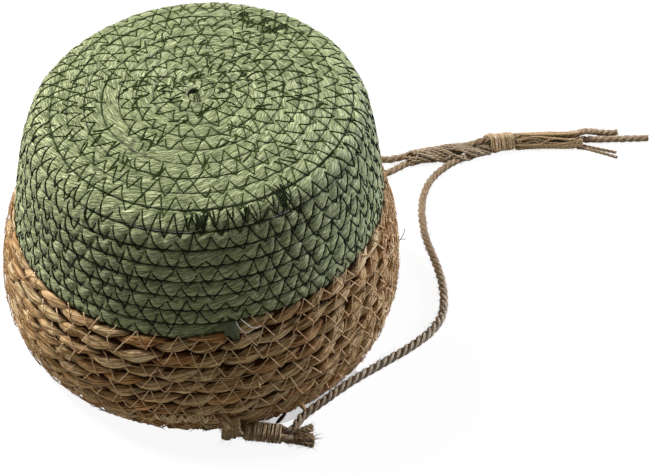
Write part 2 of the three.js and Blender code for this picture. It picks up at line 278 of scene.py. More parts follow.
def flat_path(points: list[Pair], step: float) -> tuple[Array, Array, Array]:
    """A smooth line on the floor through points, distances along it, and unit vectors to its left."""
    line, at = evenly(smooth_line(np.array(points)), step)
    return line, at, unit(np.stack([-np.gradient(line[:, 1]), np.gradient(line[:, 0])], 1))


def carried(line: Array) -> tuple[Array, Array, Array]:
    """Directions along a line, and two across it that turn as little as they can.

    Args:
        line: The line's points.

    Returns:
        Tangents, sides and normals.
    """
    tangent = unit(np.gradient(line, axis=0))
    first = np.array([0.0, 0.0, 1.0])
    if abs(tangent[0, 2]) > 0.9:
        first = np.array([1.0, 0.0, 0.0])
    normal = np.empty_like(tangent)
    for i, t in enumerate(tangent):
        first = first - t * np.dot(first, t)
        first = first / np.linalg.norm(first)
        normal[i] = first
    return tangent, np.cross(tangent, normal), normal


def swept(line: Array, across: Array, rise: Array) -> Array:
    """Rings of a profile carried along a line.

    Args:
        line: The line's points, shape (n, 3).
        across: The profile's sideways part, shape (n, sides) or (sides,).
        rise: Its part along the line's normal, the same shape.

    Returns:
        Rings of shape (1, n, sides, 3).
    """
    _, side, normal = carried(line)
    across, rise = (np.broadcast_to(v, (len(line), np.shape(v)[-1])) for v in (across, rise))
    return (line[:, None] + side[:, None] * across[..., None] + normal[:, None] * rise[..., None])[None]


def wander(rng: np.random.Generator, at: Array, spacing: float, start: float = 0.0) -> Array:
    """Smooth random values from -1 to 1 along a distance: a cosine blend between random knots.

    Args:
        rng: The random source.
        at: The distances.
        spacing: Distance between the knots.
        start: The least distance.

    Returns:
        One value for each distance.
    """
    x = (np.asarray(at) - start) / spacing
    knots = rng.uniform(-1, 1, int(np.max(x)) + 3)
    i = np.clip(np.floor(x).astype(int), 0, len(knots) - 2)
    f = 0.5 - 0.5 * np.cos(np.pi * clipped(x - i))
    return knots[i] * (1 - f) + knots[i + 1] * f


def settled(height: Array, soft: float = 1.5 * MM) -> Array:
    """Heights over the floor: those below soft close in on the floor exponentially and stay above it."""
    return np.where(height < soft, soft * np.exp(np.minimum(height - soft, 0) / soft), height)


# The wall's surface


@dataclass
class Wall:
    """The surface that the coils follow: an outline turned round the axis, wound into rows."""

    outline: tuple[Pair, ...] = (
        (0, 131.2), (32, 131), (58.8, 128.6), (74.5, 124.3), (79.8, 113), (83.8, 95),
        (87.3, 74), (93, 55.5), (96, 30), (93, 12), (84.5, -0.8),
    )
    tall_side_angle: float = 53.0
    tall_side_slope: float = 0.1
    row_pitch: float = 8.0 * MM
    coil_phase: float = 174.0
    base_turns: float = 8.625
    green_turns: float = 16.2917
    left_side: float = 200.0
    right_side: float = 350.0
    knots: Array = field(init=False)
    slopes: Array = field(init=False)
    distances: Array = field(init=False)
    row_turns: Array = field(init=False)
    row_lengths: Array = field(init=False)

    def __post_init__(self) -> None:
        """Works out the tables of the outline and of the rows' length."""
        curve = smooth_line(np.array(self.outline, float) * MM, 160)
        self.knots, self.distances = curve, travelled(curve)
        self.slopes = unit(np.gradient(curve, self.distances, axis=0))
        self.row_turns = np.linspace(-1.0, self.rim_turns + 1.5, 6000)
        radius = self.at(np.maximum(self.row_pitch * self.row_turns, 0), 0.0)[0]
        steps = 2 * np.pi * np.maximum(radius, 1 * MM) * np.gradient(self.row_turns)
        self.row_lengths = np.cumsum(steps) - steps[0]

    @property
    def rim_edge(self) -> float:
        """Distance along the outline from the crown to the rim."""
        return float(self.distances[-1])

    @property
    def rim_turns(self) -> float:
        """The turn at which the last row has thinned out."""
        return (self.rim_edge - 2.4 * MM) / self.row_pitch + 0.5

    def at(self, distance: Array | float, lift: Array | float) -> tuple[Array, Array]:
        """Radius and height of a point of the outline, moved out along its normal.

        Past its ends the outline goes on straight.

        Args:
            distance: Distance from the crown.
            lift: How far to move out.

        Returns:
            Radius and height.
        """
        inside = np.clip(distance, 0, self.rim_edge)
        beyond = distance - inside
        r, z = (np.interp(inside, self.distances, self.knots[:, k]) for k in (0, 1))
        dr, dz = (np.interp(inside, self.distances, self.slopes[:, k]) for k in (0, 1))
        return r + dr * beyond - dz * lift, z + dz * beyond + dr * lift

    def lean(self, points: Array) -> Array:
        """Points after the basket grows taller towards its tall side.

        Height is multiplied by 1 + slope * (p . side) / height of the crown.

        Args:
            points: Points of the upright wall.

        Returns:
            Points of the leaning one.
        """
        side = math.radians(self.tall_side_angle)
        towards = points[..., 0] * math.cos(side) + points[..., 1] * math.sin(side)
        height = self.outline[0][1] * MM
        leant = points.copy()
        leant[..., 2] = settled(leant[..., 2] * (1 + self.tall_side_slope * towards / height))
        return leant

    def on(self, turn: Array, distance: Array, lift: Array) -> Array:
        """Points from their turn, their distance from the crown and their lift.

        Args:
            turn: Turns from the coil's start.
            distance: Distance along the outline.
            lift: Distance out from the wall's middle surface.

        Returns:
            Points, shape (..., 3).
        """
        turn, distance, lift = np.broadcast_arrays(turn, distance, lift)
        r, z = self.at(distance, lift)
        angle = np.radians(self.coil_phase + 360 * turn)
        return self.lean(np.stack([r * np.cos(angle), r * np.sin(angle), z], -1))

    def angle_at(self, turn: Array) -> Array:
        """Degrees round the basket at a turn, from 0 to 360."""
        return (self.coil_phase + 360 * turn) % 360

    def turn_of(self, angle: Array | float) -> Array | float:
        """Turns from the coil's start to an angle in degrees."""
        return (angle - self.coil_phase) / 360

    def band(self, turn: Array) -> tuple[Array, Array]:
        """Middle and height of the row at a turn, cut off at the crown and at the rim."""
        top, bottom = (np.clip(self.row_pitch * (turn + k), 0, self.rim_edge) for k in (-0.5, 0.5))
        return (top + bottom) / 2, bottom - top

    def row(self, turn: Array, across: Array, lift: Array) -> Array:
        """Points of a row.

        Args:
            turn: Turns.
            across: From -1 to 1 over the row's height.
            lift: In metres.

        Returns:
            Points, shape (..., 3).
        """
        middle, height = self.band(turn)
        shrink = np.minimum(1, (height + self.row_pitch) / (2 * self.row_pitch))
        return self.on(turn, middle + across * height / 2, lift * shrink)

    def length(self, turn: Array) -> Array:
        """Length of the coil up to a turn."""
        return np.interp(turn, self.row_turns, self.row_lengths)

    def turn_at(self, length: Array) -> Array:
        """The turn at a length of the coil."""
        return np.interp(length, self.row_lengths, self.row_turns)

    def past_shoulder(self, turn: Array) -> Array:
        """0 on the base and 1 down the wall, even between."""
        return clipped((turn - self.base_turns + 0.4) / 1.6)

    def near(self, turn: Array, side: float) -> Array:
        """1 on the wall round a side's angle in degrees, 0 on the base and on the other sides."""
        off = np.abs((self.coil_phase + 360 * turn - side + 180) % 360 - 180)
        return clipped(1.35 - off / 60) * self.past_shoulder(turn)

    def turns(self, start: float, end: float, step: float) -> tuple[Array, Array]:
        """Turns a step apart along the coil.

        Args:
            start: First turn.
            end: Last turn.
            step: Distance between them.

        Returns:
            The turns, and their lengths along the coil.
        """
        first, last = self.length(np.array([start, end]))
        lengths = np.linspace(first, last, int((last - first) / step) + 2)
        return self.turn_at(lengths), lengths


# Sewing


@dataclass
class Stitching:
    """Zigzag sewing over the groove between two rows; stitches are counted along the groove."""

    wall: Wall
    pitch: float
    reach_up: float
    reach_down: float
    seed: int
    corner: Pair = (0.5, 0.68)
    uneven: float = 0.7 * MM
    drift: float = 0.35
    bow: float = 0.12
    longer: float = 0.0
    groove_length: float = 14.0
    apex: Array = field(init=False)
    up: Array = field(init=False)
    down: Array = field(init=False)
    lengths: Array = field(init=False)
    phases: Array = field(init=False)
    bends: Array = field(init=False)

    def __post_init__(self) -> None:
        """Draws each stitch's corner and reaches: longer on both sides, more bent on the left one."""
        rng = seeded(self.seed)
        count = int(self.groove_length / self.pitch)
        self.apex = rng.uniform(*self.corner, count)
        self.up = self.reach_up + self.uneven * rng.normal(size=count)
        self.down = self.reach_down + self.uneven * rng.normal(size=count)
        self.lengths = np.arange(0, self.groove_length, 2 * MM)
        self.phases = self.lengths / self.pitch + self.drift * wander(rng, self.lengths, 21 * MM)
        turn = self.turn_at(np.arange(count) + 0.5)
        left = self.wall.near(turn, self.wall.left_side)
        self.up = self.up + self.longer * np.maximum(left, self.wall.near(turn, self.wall.right_side))
        self.bends = self.bow * (1 + 0.8 * left)

    def turn_at(self, phase: Array) -> Array:
        """Turn of the row above the groove at a stitch's number."""
        return self.wall.turn_at(np.interp(phase, self.phases, self.lengths)) - 0.5

    def between(self, start: float, end: float) -> tuple[Array, ...]:
        """The stitches between two turns of the groove.

        Args:
            start: First turn.
            end: Last turn.

        Returns:
            Columns: their numbers, corners, reaches up and down, and the next one's reach up.
        """
        first, last = np.interp(self.wall.length(np.array([start, end])), self.lengths, self.phases)
        n = np.arange(int(first) + 1, int(last))
        return tuple(v[:, None] for v in (n, self.apex[n], self.up[n], self.down[n], self.up[n + 1]))

    def zigzag(self, turn: Array) -> tuple[Array, Array, Array]:
        """The thread's offset from the groove, down the wall, at a turn of the row above.

        Over the first part of a stitch it goes from -up to +down, then back to the next stitch's -up.

        Args:
            turn: Turns of the row above the groove.

        Returns:
            Offset, its slope along the groove, and the share of the way back, 0 on the first leg.
        """
        phase = np.interp(self.wall.length(turn + 0.5), self.lengths, self.phases)
        i = np.clip(np.floor(phase).astype(int), 0, len(self.apex) - 2)
        f = phase - i
        a, up, down, nxt = self.apex[i], self.up[i], self.down[i], self.up[i + 1]
        going = f < a
        flat, bow = clipped(f / a), self.bends[i]
        bowed = flat + bow * np.sin(np.pi * (flat + bow * np.sin(np.pi * flat)))
        share = np.where(going, bowed, (f - a) / (1 - a))
        offset = np.where(going, -up + (up + down) * share, down - (down + nxt) * share)
        slope = np.where(going, (up + down) / a, (down + nxt) / (1 - a)) / self.pitch
        return offset, slope, np.where(going, 0.0, share)

    def press(self, turn: Array, across: Array, width: float) -> Array:
        """How hard the threads press a row, from 0 to 1: a bell of the distance to the nearest leg.

        Args:
            turn: Turns of the row.
            across: Distance from the row's middle, down the wall, in metres.
            width: The bell's width.

        Returns:
            The press at each point.
        """
        half = self.wall.row_pitch / 2
        total = np.zeros(np.broadcast(turn, across).shape)
        for above, groove in ((turn, half), (turn - 1, -half)):
            offset, slope, _ = self.zigzag(above)
            gap = np.abs(across - groove - offset) / np.sqrt(1 + slope**2)
            total = np.maximum(total, np.exp(-((gap / width) ** 1.4)))
        return total


@dataclass
class GreenCord:
    """The dyed raffia cord: flattened, crinkled and puffed up between the stitches."""

    wall: Wall
    stitching: Stitching
    half_depth: float = 3.5 * MM
    squareness: float = 2.7
    step: float = 0.95 * MM
    grooves: Pair = (0.9 * MM, 2.1 * MM)
    pinches: Pair = (0.5 * MM, 1.0 * MM)
    press_width: float = 0.95 * MM
    swell_height: float = 0.25 * MM
    crease_height: float = 0.13 * MM
    outer_sides: int = 15
    inner_sides: int = 3

    def on_wall(self, turn: Array) -> Array:
        """0 on the base and 1 down the wall, smooth between."""
        share = self.wall.past_shoulder(turn)
        return share**2 * (3 - 2 * share)

    def lift(self, turn: Array, across: Array) -> Array:
        """Height of the cord's outer side over the wall's middle surface.

        The arch of a superellipse, as deep as the groove is there, less what the threads press in,
        plus a slow random swell.

        Args:
            turn: Turns of the row.
            across: From -1 to 1 over the row.

        Returns:
            Lift in metres.
        """
        n = self.squareness
        arch = np.maximum(1 - np.abs(np.clip(across, -1, 1)) ** n, 0) ** (1 / n)
        press = self.stitching.press(turn, across * self.wall.row_pitch / 2, self.press_width)
        rng = seeded(5)
        swell = self.swell_height * wander(rng, self.wall.length(turn), 6 * MM)
        groove, pinch = self.depths(turn)
        return self.half_depth - groove * (1 - arch) + (swell - pinch * press) * (0.3 + 0.7 * arch)

    def depths(self, turn: Array) -> list[Array]:
        """Depth of the groove and of what the threads press in, each from base to wall."""
        share = self.on_wall(turn)
        return [base + (wall - base) * share for base, wall in (self.grooves, self.pinches)]

    def shape(self, start: float, end: float) -> Shape:
        """A length of the cord.

        Args:
            start: First turn.
            end: Last turn.

        Returns:
            Its mesh, finish places in metres along and across.
        """
        turn, lengths = self.wall.turns(start, end, self.step)
        outer = np.linspace(-1, 1, self.outer_sides)
        outer = np.sign(outer) * np.abs(outer) ** 0.8 * 0.985
        inner = np.linspace(1, -1, self.inner_sides + 2)[1:-1] * 0.7
        t = turn[:, None]
        rng = seeded(8)
        crease = sum(
            wander(rng, lengths, 2.2 * MM)[:, None] * np.sin(k * np.pi * outer + k)[None]
            for k in (1, 2, 3, 4)
        )
        lifts = self.lift(t, outer[None]) + self.crease_height * crease * (1 - outer[None] ** 4)
        tuck = np.clip(0.8 + np.minimum(lengths - lengths[0], lengths[-1] - lengths) / (12 * MM), 0.8, 1)
        lifts = lifts * tuck[:, None]
        under = np.broadcast_to(-self.half_depth * 0.94, (len(turn), len(inner)))
        across = np.broadcast_to(np.concatenate([outer, inner]), (len(turn), len(outer) + len(inner)))
        rings = self.wall.row(t, across, np.concatenate([lifts, under], 1))[None]
        groove, pinch = self.depths(t)
        # Painted shade: the further a point sinks below the crest, in the grooves and where the threads
        # press in, the darker the finish paints it; the hidden inner side is fully shaded.
        deep = clipped((self.half_depth * tuck[:, None] - lifts) / (groove + 0.6 * pinch))
        deep = np.concatenate([deep, np.ones_like(under)], 1)[None]
        ring = rings[0, len(turn) // 2]
        return tubes(rings, lengths[None], travelled(np.vstack([ring, ring[:1]])), 0.5, deep)

    def crown(self) -> Shape:
        """A short stub under the first turn that fills the hole at the crown, painted dark as the hole's
        shade.

        Returns:
            Its mesh.
        """
        level = np.array([-3.0, -2.9, 0.6, 0.9]) * MM + self.wall.at(0.0, 0.0)[1]
        size = np.array([0.6, 4.2, 3.6, 0.6]) * MM
        x, y = size[:, None] * np.cos(circle(12)), size[:, None] * np.sin(circle(12))
        rings = np.stack(np.broadcast_arrays(x, y, level[:, None]), -1)[None]
        # A shade of 0.9 paints the stub dark: painted shade.
        return tubes(rings, (level - level[0])[None], np.linspace(0, 26 * MM, 13), 0.5, 0.9)

    def tucked_end(self) -> Shape:
        """The cord's end, turned down over the join and flattened: a bent strip that narrows.

        Returns:
            Its mesh.
        """
        wall, share = self.wall, np.linspace(0, 1, 16)
        angle, middle = 276.2 + 2.9 * share, (125.5 + 11.5 * share) * MM
        half = (3.2 - 1.9 * share**1.5) / (wall.at(130 * MM, 0.0)[0] * 1000) * 180 / np.pi
        lift = 3.1 + 1.3 * np.sin(np.pi * np.minimum(share * 1.15, 1)) ** 0.6
        corners = ((-1, 0), (-0.5, 0.7), (0.05, 0.35), (0.5, 0.75), (1, 0), (0.5, -1.4), (-0.5, -1.4))
        rings = np.stack([
            wall.on(wall.turn_of(angle + half * a), middle, (lift + b) * MM)
            for a, b in corners
        ], 1)[None]
        # A shade of 0.72 paints the whole end darker: painted shade.
        return tubes(
            rings, (11 * MM * share)[None], np.linspace(0, 12 * MM, len(corners) + 1), 0.5, 0.72
        )


@dataclass
class Thread:
    """Sewing thread that lies on a coil."""

    wall: Wall
    radius: float = 0.24 * MM
    sides: int = 5

    def tube(self, turn: Array, distance: Array, lift: Array, tint: Array | float = 1.0) -> Shape:
        """A thread through places of the wall.

        Args:
            turn: Turns.
            distance: Distances from the crown.
            lift: Lifts.
            tint: Tint of each place.

        Returns:
            A closed tube of round section.
        """
        line = self.wall.on(turn, distance, lift)
        angle = circle(self.sides)
        rings = swept(line, self.radius * np.cos(angle), self.radius * np.sin(angle))
        around = np.linspace(0, 2 * np.pi * self.radius, self.sides + 1)
        return tubes(rings, travelled(line)[None], around, np.broadcast_to(tint, line.shape[:1])[None])

    def legs(
        self, turn: Array, distance: Array, lift: Array, tint: Array | float = 1.0, dive: float = 0.0
    ) -> Shape:
        """Many short threads at once, all of the same number of points.

        Args:
            turn: Turns, shape (threads, points).
            distance: Distances from the crown, the same shape.
            lift: Lifts, the same shape.
            tint: Tints, the same shape or a number.
            dive: How far both ends of each go in.

        Returns:
            Their tubes as one shape.
        """
        turn, distance, lift = np.broadcast_arrays(turn, distance, lift)
        ends = np.isin(np.arange(lift.shape[1]), (0, lift.shape[1] - 1))
        lift = lift - dive * ends
        line = self.wall.on(turn, distance, lift)
        tangent = unit(np.gradient(line, axis=1))
        out = self.wall.on(turn, distance, lift + 1 * MM) - line
        side = unit(np.cross(tangent, out))
        normal = np.cross(side, tangent)
        angle = circle(self.sides)[:, None]
        ring = self.radius * (side[:, :, None] * np.cos(angle) + normal[:, :, None] * np.sin(angle))
        steps = np.linalg.norm(np.diff(line, axis=1), axis=2)
        along = np.concatenate([np.zeros((len(line), 1)), np.cumsum(steps, axis=1)], axis=1)
        around = np.linspace(0, 2 * np.pi * self.radius, self.sides + 1)
        return tubes(line[:, :, None] + ring, along, around, np.broadcast_to(tint, along.shape))


@dataclass
class Sewing:
    """What both threads have: a surface to lie on, and clusters of stitches."""

    wall: Wall
    thread: Thread
    points_in_leg: int = 9

    def surface(self, turn: Array, distance: Array) -> Array:
        """Lift of what the thread lies on."""
        return np.broadcast_to(4.2 * MM, np.broadcast(turn, distance).shape)

    def tangle(
        self, angle: float, distance: float, spread: Pair, count: int, reach: float,
        seed: int, tint: float = 1.0,
    ) -> Shape:
        """A cluster of stitches sewn over each other.

        Args:
            angle: Degrees round the basket of its middle.
            distance: Distance from the crown of its middle.
            spread: Half its width along the row and half its height, in metres.
            count: How many threads.
            reach: About how long each is.
            seed: For the random places.
            tint: The threads' tint.

        Returns:
            The threads as one shape.
        """
        wall = self.wall
        rng = seeded(seed)
        each = (count, 1)
        share = np.linspace(0, 1, self.points_in_leg)[None]
        radius = float(wall.at(distance, 0.0)[0]) + 2 * MM
        along = rng.uniform(-1, 1, each) * spread[0]
        down = rng.uniform(-1, 1, each) * spread[1]
        size = reach * rng.uniform(0.6, 1.2, each)
        corner = rng.uniform(0.35, 0.65, each)
        fold = np.where(share < corner, share / corner, (1 - share) / (1 - corner))
        upright = rng.random(each) < 0.45
        place = distance + down + size * (np.where(upright, share, fold) - 0.5)
        width = np.where(upright, rng.normal(0, 0.25, each), rng.uniform(0.5, 0.9, each)) * size
        round_it = along + width * (share - 0.5)
        turn = wall.turn_of(angle) % 1 + round_it / (2 * np.pi * radius)
        lift = self.surface(turn, place) + self.thread.radius + rng.uniform(0, 0.4, each) * MM
        return self.thread.legs(turn, np.maximum(place, 1 * MM), lift, tint, 0.6 * MM)


@dataclass
class GreenSewing(Sewing):
    """The near-black thread on the green rows."""

    cord: GreenCord | None = None
    bare_ring: float = 45 * MM
    bare_angle: float = 212
    bare_reach: float = 47

    def surface(self, turn: Array, distance: Array) -> Array:
        """Lift of the green cord at any place of the wall.

        Args:
            turn: Turns, whole ones not counted.
            distance: Distances from the crown.

        Returns:
            Lift in metres.
        """
        part, rows = turn - np.floor(turn), distance / self.wall.row_pitch
        row = np.round(rows - part) + part
        return self.cord.lift(row, (rows - row) * 2)

    def zigzag_legs(self) -> Shape:
        """Both legs of every stitch, lying on the rows.

        The way back is short on the left wall, where the thread goes in again, and long elsewhere.

        Returns:
            One shape.
        """
        wall, sewing = self.wall, self.cord.stitching
        number, a, up, down, nxt = sewing.between(1.0, wall.green_turns + 0.45)
        rng = seeded(21)
        turn = sewing.turn_at(number[:, 0] + 0.5)
        left = wall.near(turn, wall.left_side)
        side = np.maximum(left, wall.near(turn, wall.right_side))
        shown = np.clip(1.0 - 0.55 * left + 0.14 * rng.normal(size=len(number)), 0.35, 1.0)
        groove = wall.row_pitch * (turn + 0.5)
        bare = (np.abs(groove - self.bare_ring) < wall.row_pitch / 2) & (
            np.abs(wall.angle_at(turn) - self.bare_angle) < self.bare_reach
        )
        share = np.linspace(0, 1, self.points_in_leg)[None]
        bow = sewing.bends[number] * np.sin(np.pi * share)
        back = shown[:, None]
        down = np.where(turn > wall.green_turns - 1.05, 0.3 * MM, down[:, 0])[:, None]
        shapes = []
        for phase, offset in (
            (number + a * share - bow * a, -up + (up + down) * share),
            (number + a + (1 - a) * share * back, down - (down + nxt) * share * back),
        ):
            phase, offset = phase[~bare], offset[~bare]
            proud = (0.9 * self.thread.radius + 0.3 * MM * side[~bare])[:, None]
            turn = sewing.turn_at(phase)
            distance = wall.row_pitch * (turn + 0.5) + offset
            lift = self.surface(turn, distance) + proud
            chord = lift[:, :1] * (1 - share) + lift[:, -1:] * share
            lift = np.maximum(lift, chord - 0.7 * MM)
            # The tint, 0 on the base and 1 down the wall, paints the thread lighter on the lit base:
            # painted light.
            shapes.append(self.thread.legs(turn, distance, lift, self.cord.on_wall(turn), 0.3 * MM))
        return joined(shapes)

    def strays(self) -> Shape:
        """Uneven stitches all over the base, mostly across its rows, and four tangles.

        Returns:
            One shape.
        """
        rng = seeded(23)
        count = 110
        each = (count, 1)
        share = np.linspace(0, 1, self.points_in_leg)[None]
        middle = rng.uniform(9, 62, each) * MM
        angle = rng.uniform(0, 1, each)
        size = rng.uniform(4.5, 9.0, each) * MM
        slant = rng.normal(0, 0.6, each)
        place = middle + size * np.cos(slant) * (share - 0.5)
        turn = angle + (size * np.sin(slant) * (share - 0.5) + 0.08 * size * np.sin(np.pi * share)) / (
            2 * np.pi * np.maximum(middle, 12 * MM)
        )
        lift = self.surface(turn, place) + self.thread.radius * 0.9
        # The tints, low on the base and high on the wall, paint the thread lighter where the base is lit:
        # painted light.
        return joined([
            self.thread.legs(turn, np.maximum(place, 1 * MM), lift, 0.0, 0.4 * MM),
            self.tangle(297.8, 73.5 * MM, (5.5 * MM, 2 * MM), 10, 8.5 * MM, 24, 0.85),
            self.tangle(277.5, 74.5 * MM, (16 * MM, 1.5 * MM), 18, 7 * MM, 25, 0.7),
            self.tangle(56.0, 60 * MM, (14 * MM, 6 * MM), 26, 5.5 * MM, 26, 0.2),
            self.tangle(300.0, 6 * MM, (9 * MM, 6 * MM), 5, 5 * MM, 27, 0.1),
            self.snag(),
        ])

    def snag(self) -> Shape:
        """A dark thread end caught on the leaf at the right: a short forked hair.

        Its points are degrees, millimetres past the join's row, and lift.

        Returns:
            One shape.
        """
        ends = (
            ((-5.2, 119.0, 3.6), (-4.2, 118.2, 5.5), (-3.4, 116.5, 7.2), (-2.8, 114.0, 8.2)),
            ((-4.4, 118.4, 5.0), (-4.9, 117.0, 6.4), (-5.6, 116.4, 7.6), (-6.4, 115.2, 8.0)),
        )
        wall, shapes = self.wall, []
        for end in ends:
            line = smooth_line(np.array(end), 5)
            turn, place = wall.turn_of(line[:, 0]), (line[:, 1] + 44) * MM
            shapes.append(Thread(wall, 0.17 * MM).tube(turn, place, line[:, 2] * MM))
        return joined(shapes)

    def groove_line(self) -> Shape:
        """The thread that runs on in the groove: seen on the front wall, and in places on the base.

        Returns:
            One shape.
        """
        wall = self.wall
        turn, lengths = wall.turns(1.2, wall.green_turns - 1.0, 2.2 * MM)
        rng = seeded(31)
        distance = wall.row_pitch * (turn + 0.5) + 0.3 * MM * wander(rng, lengths, 9 * MM)
        front = clipped((60 - np.abs(wall.angle_at(turn) - 275)) / 15) * self.cord.on_wall(turn + 0.7)
        base = clipped(2.5 * wander(rng, lengths, 70 * MM)) * (1 - self.cord.on_wall(turn))
        shown = np.maximum(np.maximum(front, base), clipped(1.5 - np.abs(turn - 8.0) * 3))
        lift = self.surface(turn, distance) + (self.thread.radius + 0.1 * MM) * (2.2 * shown - 1.2)
        # The tint paints the thread lighter on the lit base: painted light.
        return self.thread.tube(turn, distance, lift, self.cord.on_wall(turn + 0.5))


@dataclass
class LeafCord:
    """The natural cord: two twisted plies of dried leaf, with loose slivers."""

    wall: Wall
    lay: float = 31 * MM
    offset: float = 1.95 * MM
    half_width: float = 3.35 * MM
    half_thick: float = 2.35 * MM
    sides: int = 16
    step: float = 1.35 * MM
    calm_side: float = 190.0
    sliver_count: int = 170
    fibre_count: int = 860
    girth: float = 0.62

    def ply(self, number: int) -> Shape:
        """One ply, which winds round the other and swells where it comes to the outside.

        Its middle turns round the cord once in each lay. Its section is an ellipse that is wide
        across the radius, with slow creases; the columns of the mesh keep their side, so that the
        veins run along the cord.

        Args:
            number: 0 or 1.

        Returns:
            Its mesh.
        """
        wall = self.wall
        turn, lengths = wall.turns(wall.green_turns - 0.008, wall.rim_turns, self.step)
        rng = seeded(100 + number)
        both = 0.8 * wander(seeded(99), lengths, 30 * MM)
        spin = (
            2 * np.pi * lengths / self.lay + np.pi * number + both + 0.15 * wander(rng, lengths, 15 * MM)
        )
        facing = np.sin(spin) * 0.5 + 0.5
        calm = clipped(1.35 - np.abs(wall.angle_at(turn) - self.calm_side) / 48)
        wide = self.half_width * (0.68 + 0.36 * facing**1.4) * (1 + 0.12 * wander(rng, lengths, 11 * MM))
        thick = self.half_thick * (0.76 + 0.26 * facing) * (1 + 0.12 * wander(rng, lengths, 9 * MM))
        wide, thick = wide * (1 + 0.14 * calm), thick * (1 + 0.2 * calm)
        far = self.offset * (1 + 0.2 * wander(rng, lengths, 8 * MM)) * (1 - 0.5 * calm)
        theta = circle(self.sides)
        crease = sum(
            wander(rng, lengths, 7 * MM)[:, None]
            * np.cos(k * theta + 2 * wander(rng, lengths, 17 * MM)[:, None])
            for k in (2, 3, 5, 6)
        )
        turned = theta - spin[:, None]
        ellipse = wide[:, None] * thick[:, None] / np.sqrt(
            (wide[:, None] * np.cos(turned)) ** 2 + (thick[:, None] * np.sin(turned)) ** 2
        )
        reach = ellipse * (1 + 0.075 * crease)
        across = far[:, None] * np.cos(spin)[:, None] + reach * np.cos(theta)
        lift = far[:, None] * np.sin(spin)[:, None] + reach * np.sin(theta)
        across = np.clip(across / (wall.row_pitch / 2), -1.04, 1.04)
        taper = np.clip(0.62 + (lengths - lengths[0]) / (16 * MM), 0.62, 1)[:, None]
        lobe = np.floor((spin + np.pi / 2) / (2 * np.pi)).astype(int)
        tints = seeded(200 + number).random(int(lobe.max()) + 2)[lobe]
        # Painted light and shade by side: on the right the lobes are pulled to a paler tint and get less
        # shade, on the left to one darker tint with a little more shade.
        right = 0.5 + 0.5 * np.cos(2 * np.pi * turn + np.radians(wall.coil_phase - wall.right_side))
        tints = tints + np.maximum(0.4 * right**2, 0.5 * calm) * (0.55 - 0.23 * calm - tints)
        rings = wall.row(turn[:, None], across * taper, lift * taper)[None]
        # Painted shade: darker the lower a point lies, at the ply's edges and where it faces inwards.
        edge = np.abs(across) ** 3 * 0.95 + (1 - facing[:, None]) * 0.35
        deep = clipped((3.9 * MM - lift) / (3.1 * MM) * 0.7 + edge * 0.5)
        deep = deep * (1.08 - 0.3 * right + 0.04 * calm)[:, None]
        around = np.linspace(0, 20 * MM, self.sides + 1)
        return tubes(rings, lengths[None], around, tints[None], deep[None])

    def core(self) -> Shape:
        """A dark flat oval carried along the row inside the cord: painted shade that shows between the
        plies.

        Returns:
            Its mesh.
        """
        wall = self.wall
        turn, lengths = wall.turns(wall.green_turns + 0.004, wall.rim_turns, 3 * MM)
        theta = circle(10)
        lift = 2.2 * MM * np.sin(theta) - 0.4 * MM
        rings = wall.row(turn[:, None], 1.02 * np.cos(theta)[None], lift[None])[None]
        return tubes(rings, lengths[None], np.linspace(0, 20 * MM, 11), 0.0, 1.0)

    def start_strip(self) -> Shape:
        """The flat brown start of the leaf cord, laid beside the last green row and cut straight.

        Returns:
            Its mesh.
        """
        wall = self.wall
        share = np.linspace(0, 1, 14)
        angle = 265.0 + 10.3 * share
        middle = (133.3 + 0.2 * share) * MM
        half = (0.5 + 2.7 * share) * MM
        corners = ((-1, 0), (-0.5, 0.5), (0.5, 0.35), (1, 0), (0.5, -1.2), (-0.5, -1.2))
        rings = np.stack([
            wall.on(wall.turn_of(angle), middle + half * a, (3.7 + 0.35 * share + b) * MM)
            for a, b in corners
        ], 1)[None]
        return tubes(rings, (16 * MM * share)[None], np.linspace(0, 9 * MM, len(corners) + 1), 0.05)

    def bits(self) -> Shape:
        """Odd bits: a pale chip, an amber stub by the rope, a dark strip on the film.

        Returns:
            One shape.
        """
        wall, share = self.wall, np.linspace(0, 1, 9)
        lens = np.sin(np.pi * (0.06 + 0.88 * share))
        chip = wall.on(wall.turn_of(283.6 + 0.5 * share), (160.4 + 5 * share) * MM, 4.9 * MM)
        stub = np.array([42.5, -83.5, 12.5]) + np.outer(share, [4.5, -3.5, -6.0])
        strip = np.array([31.8, -91.5, 1.9]) + np.outer(share, [6.5, 8.0, 0.6])
        theta, shapes = circle(8), []
        for line, wide, thick, tint, deep in (
            (chip, 1.3, 0.35, 0.55, 0.0),
            (stub * MM, 1.5, 1.3, 0.87, 0.0),
            (strip * MM, 1.1, 0.35, 0.0, 0.9),
        ):
            wide, thick = wide * MM * lens[:, None], thick * MM * lens[:, None]
            rings = swept(line, wide * np.cos(theta), thick * np.sin(theta))
            shapes.append(tubes(rings, (6 * MM * share)[None], np.linspace(0, 6 * MM, 9), tint, deep))
        return joined(shapes)

